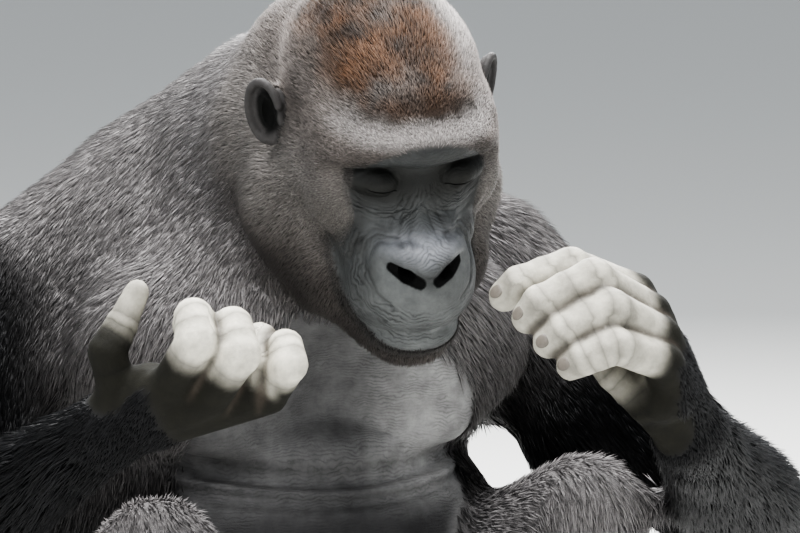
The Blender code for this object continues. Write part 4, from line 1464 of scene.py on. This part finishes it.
def onSide(left):
    return lambda points: (points[:, 0] > shift.x) == left


def behindLine(behind):
    return lambda points: (inBody(points)[:, 1] > 0.09) == behind


coatPieces = {  # regions of each piece, and what part of them it takes
    "coatCrownLeft": ("head", headPart("Crown", True)),
    "coatCrownRight": ("head", headPart("Crown", False)),
    "coatCheekLeft": ("head", headPart("Cheek", True)),
    "coatCheekRight": ("head", headPart("Cheek", False)),
    "coatJaw": ("head", headPart("Jaw")),
    "coatNeck": ("neck", None),
    "coatBack": ("chest", behindLine(True)),
    "coatShoulders": ("chest", behindLine(False)),
    "coatBelly": ("belly", None),
    "coatUpperArmLeft": ("upper", onSide(True)),
    "coatUpperArmRight": ("upper", onSide(False)),
    "coatForearmLeft": ("forearm hand", onSide(True)),
    "coatForearmRight": ("forearm hand", onSide(False)),
    "coatLegLeft": ("thigh shin foot", onSide(True)),
    "coatLegRight": ("thigh shin foot", onSide(False)),
}
quickCoat = {"Density": 0.4, "Width": 1.5}


def faceRegions(mesh):
    # centre of each face, and the region at its first corner
    centres = np.empty(len(mesh.polygons) * 3, np.float32)
    mesh.polygons.foreach_get("center", centres)
    firsts = np.empty(len(mesh.polygons), np.int32)
    mesh.polygons.foreach_get("loop_start", firsts)
    corners = np.empty(len(mesh.loops), np.int32)
    mesh.loops.foreach_get("vertex_index", corners)
    return centres.reshape(-1, 3), regionLabels[corners[firsts]]


def unwrapSkin():
    bpy.context.view_layer.objects.active = skin
    skin.select_set(True)
    skin.data.uv_layers.new(name="rootMap")
    bpy.ops.object.mode_set(mode="EDIT")
    bpy.ops.mesh.select_all(action="SELECT")
    bpy.ops.uv.smart_project(angle_limit=math.radians(66), island_margin=0.002)
    bpy.ops.object.mode_set(mode="OBJECT")


def addCoat():
    material = coatFinish()
    tree = coatTree(material)
    inputs = {item.name: item.identifier for item in tree.interface.items_tree if item.in_out == "INPUT"}
    tuft = tuftMesh()
    mesh = skin.data
    centres, faceRegion = faceRegions(mesh)
    for seed, (name, (regions, test)) in enumerate(coatPieces.items(), 3):
        chosen = np.isin(faceRegion, [regionNames.index(word) for word in regions.split()])
        if test:
            chosen &= test(centres)
        bm = bmesh.new()
        bm.from_mesh(mesh)
        bm.faces.ensure_lookup_table()
        bmesh.ops.delete(bm, geom=[bm.faces[i] for i in np.flatnonzero(~chosen)], context="FACES")
        ground = bpy.data.meshes.new(name)
        bm.to_mesh(ground)
        bm.free()
        piece = bpy.data.objects.new(name, ground)
        scene.collection.objects.link(piece)
        scatter = piece.modifiers.new("tufts", "NODES")
        scatter.node_group = tree
        scatter[inputs["Tuft"]] = tuft
        scatter[inputs["Seed"]] = seed * 10
        for key, value in quickCoat.items():
            scatter[inputs[key]] = 1.0
        settle(piece)
        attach(piece, "root")
        print(name, len(piece.data.polygons), "triangles")


skin.data.shade_smooth()
unwrapSkin()
addCoat()
skin.data.uv_layers.remove(skin.data.uv_layers["rootMap"])
skin.data.materials.clear()
skin.data.materials.append(skinFinish())
nails.data.materials.append(nailFinish())
eyeMaterial = Finish("eye").shader(eyeLook)
for piece in eyes:
    piece.data.materials.append(eyeMaterial)
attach(skin, "root")
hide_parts(*fleshNodes)
print("coat and finishes ready")

# floor, light and camera
studio = {
    "azimuth": -24, "elevation": 8, "distance": 6.0, "metresAcross": 0.736,
    "target": (0.0088, -0.2954, 0.6602),
    "floorSize": 12, "floorDrop": 0.0005, "floorTone": (0.72, 0.72, 0.70, 1),
    "sky": (0.85, 0.90, 0.95, 1), "skyStrength": 0.52,
}
lamps = {  # place, size and power
    "topLight": ((-0.1, -0.3, 3.6), 2.8, 330),
    "keyLight": ((-1.4, -2.4, 2.6), 2.4, 60),
    "backLight": ((1.2, 2.0, 2.4), 2.2, 230),
}


def addStudio():
    bm = bmesh.new()
    bmesh.ops.create_grid(bm, x_segments=1, y_segments=1, size=studio["floorSize"])
    floor = pieceOf("floor", bm)
    floor.data.materials.append(Finish("floorPaint").shader({"Base Color": studio["floorTone"]}))
    floor.location.z = -studio["floorDrop"]
    a, e = math.radians(studio["azimuth"]), math.radians(studio["elevation"])
    back = Vector((math.sin(a) * math.cos(e), -math.cos(a) * math.cos(e), math.sin(e)))
    camera = bpy.data.objects.new("camera", bpy.data.cameras.new("camera"))
    target = Vector(studio["target"]) + shift
    camera.location = target + back * studio["distance"]
    camera.rotation_euler = back.to_track_quat("Z", "Y").to_euler()
    camera.data.sensor_width = 36
    camera.data.lens = camera.data.sensor_width * studio["distance"] / studio["metresAcross"]
    camera.data.clip_end = 60
    scene.collection.objects.link(camera)
    scene.camera = camera
    world = bpy.data.worlds.new("world")
    world.use_nodes = True
    sky = world.node_tree.nodes["Background"].inputs
    sky["Color"].default_value, sky["Strength"].default_value = studio["sky"], studio["skyStrength"]
    scene.world = world
    scene.view_settings.look = "AgX - Medium High Contrast"
    for name, (place, size, power) in lamps.items():
        lamp = bpy.data.objects.new(name, bpy.data.lights.new(name, "AREA"))
        lamp.data.size = size
        lamp.data.energy = power
        lamp.location = Vector(place) + shift
        lamp.rotation_euler = (lamp.location - target).to_track_quat("Z", "Y").to_euler()
        scene.collection.objects.link(lamp)


addStudio()
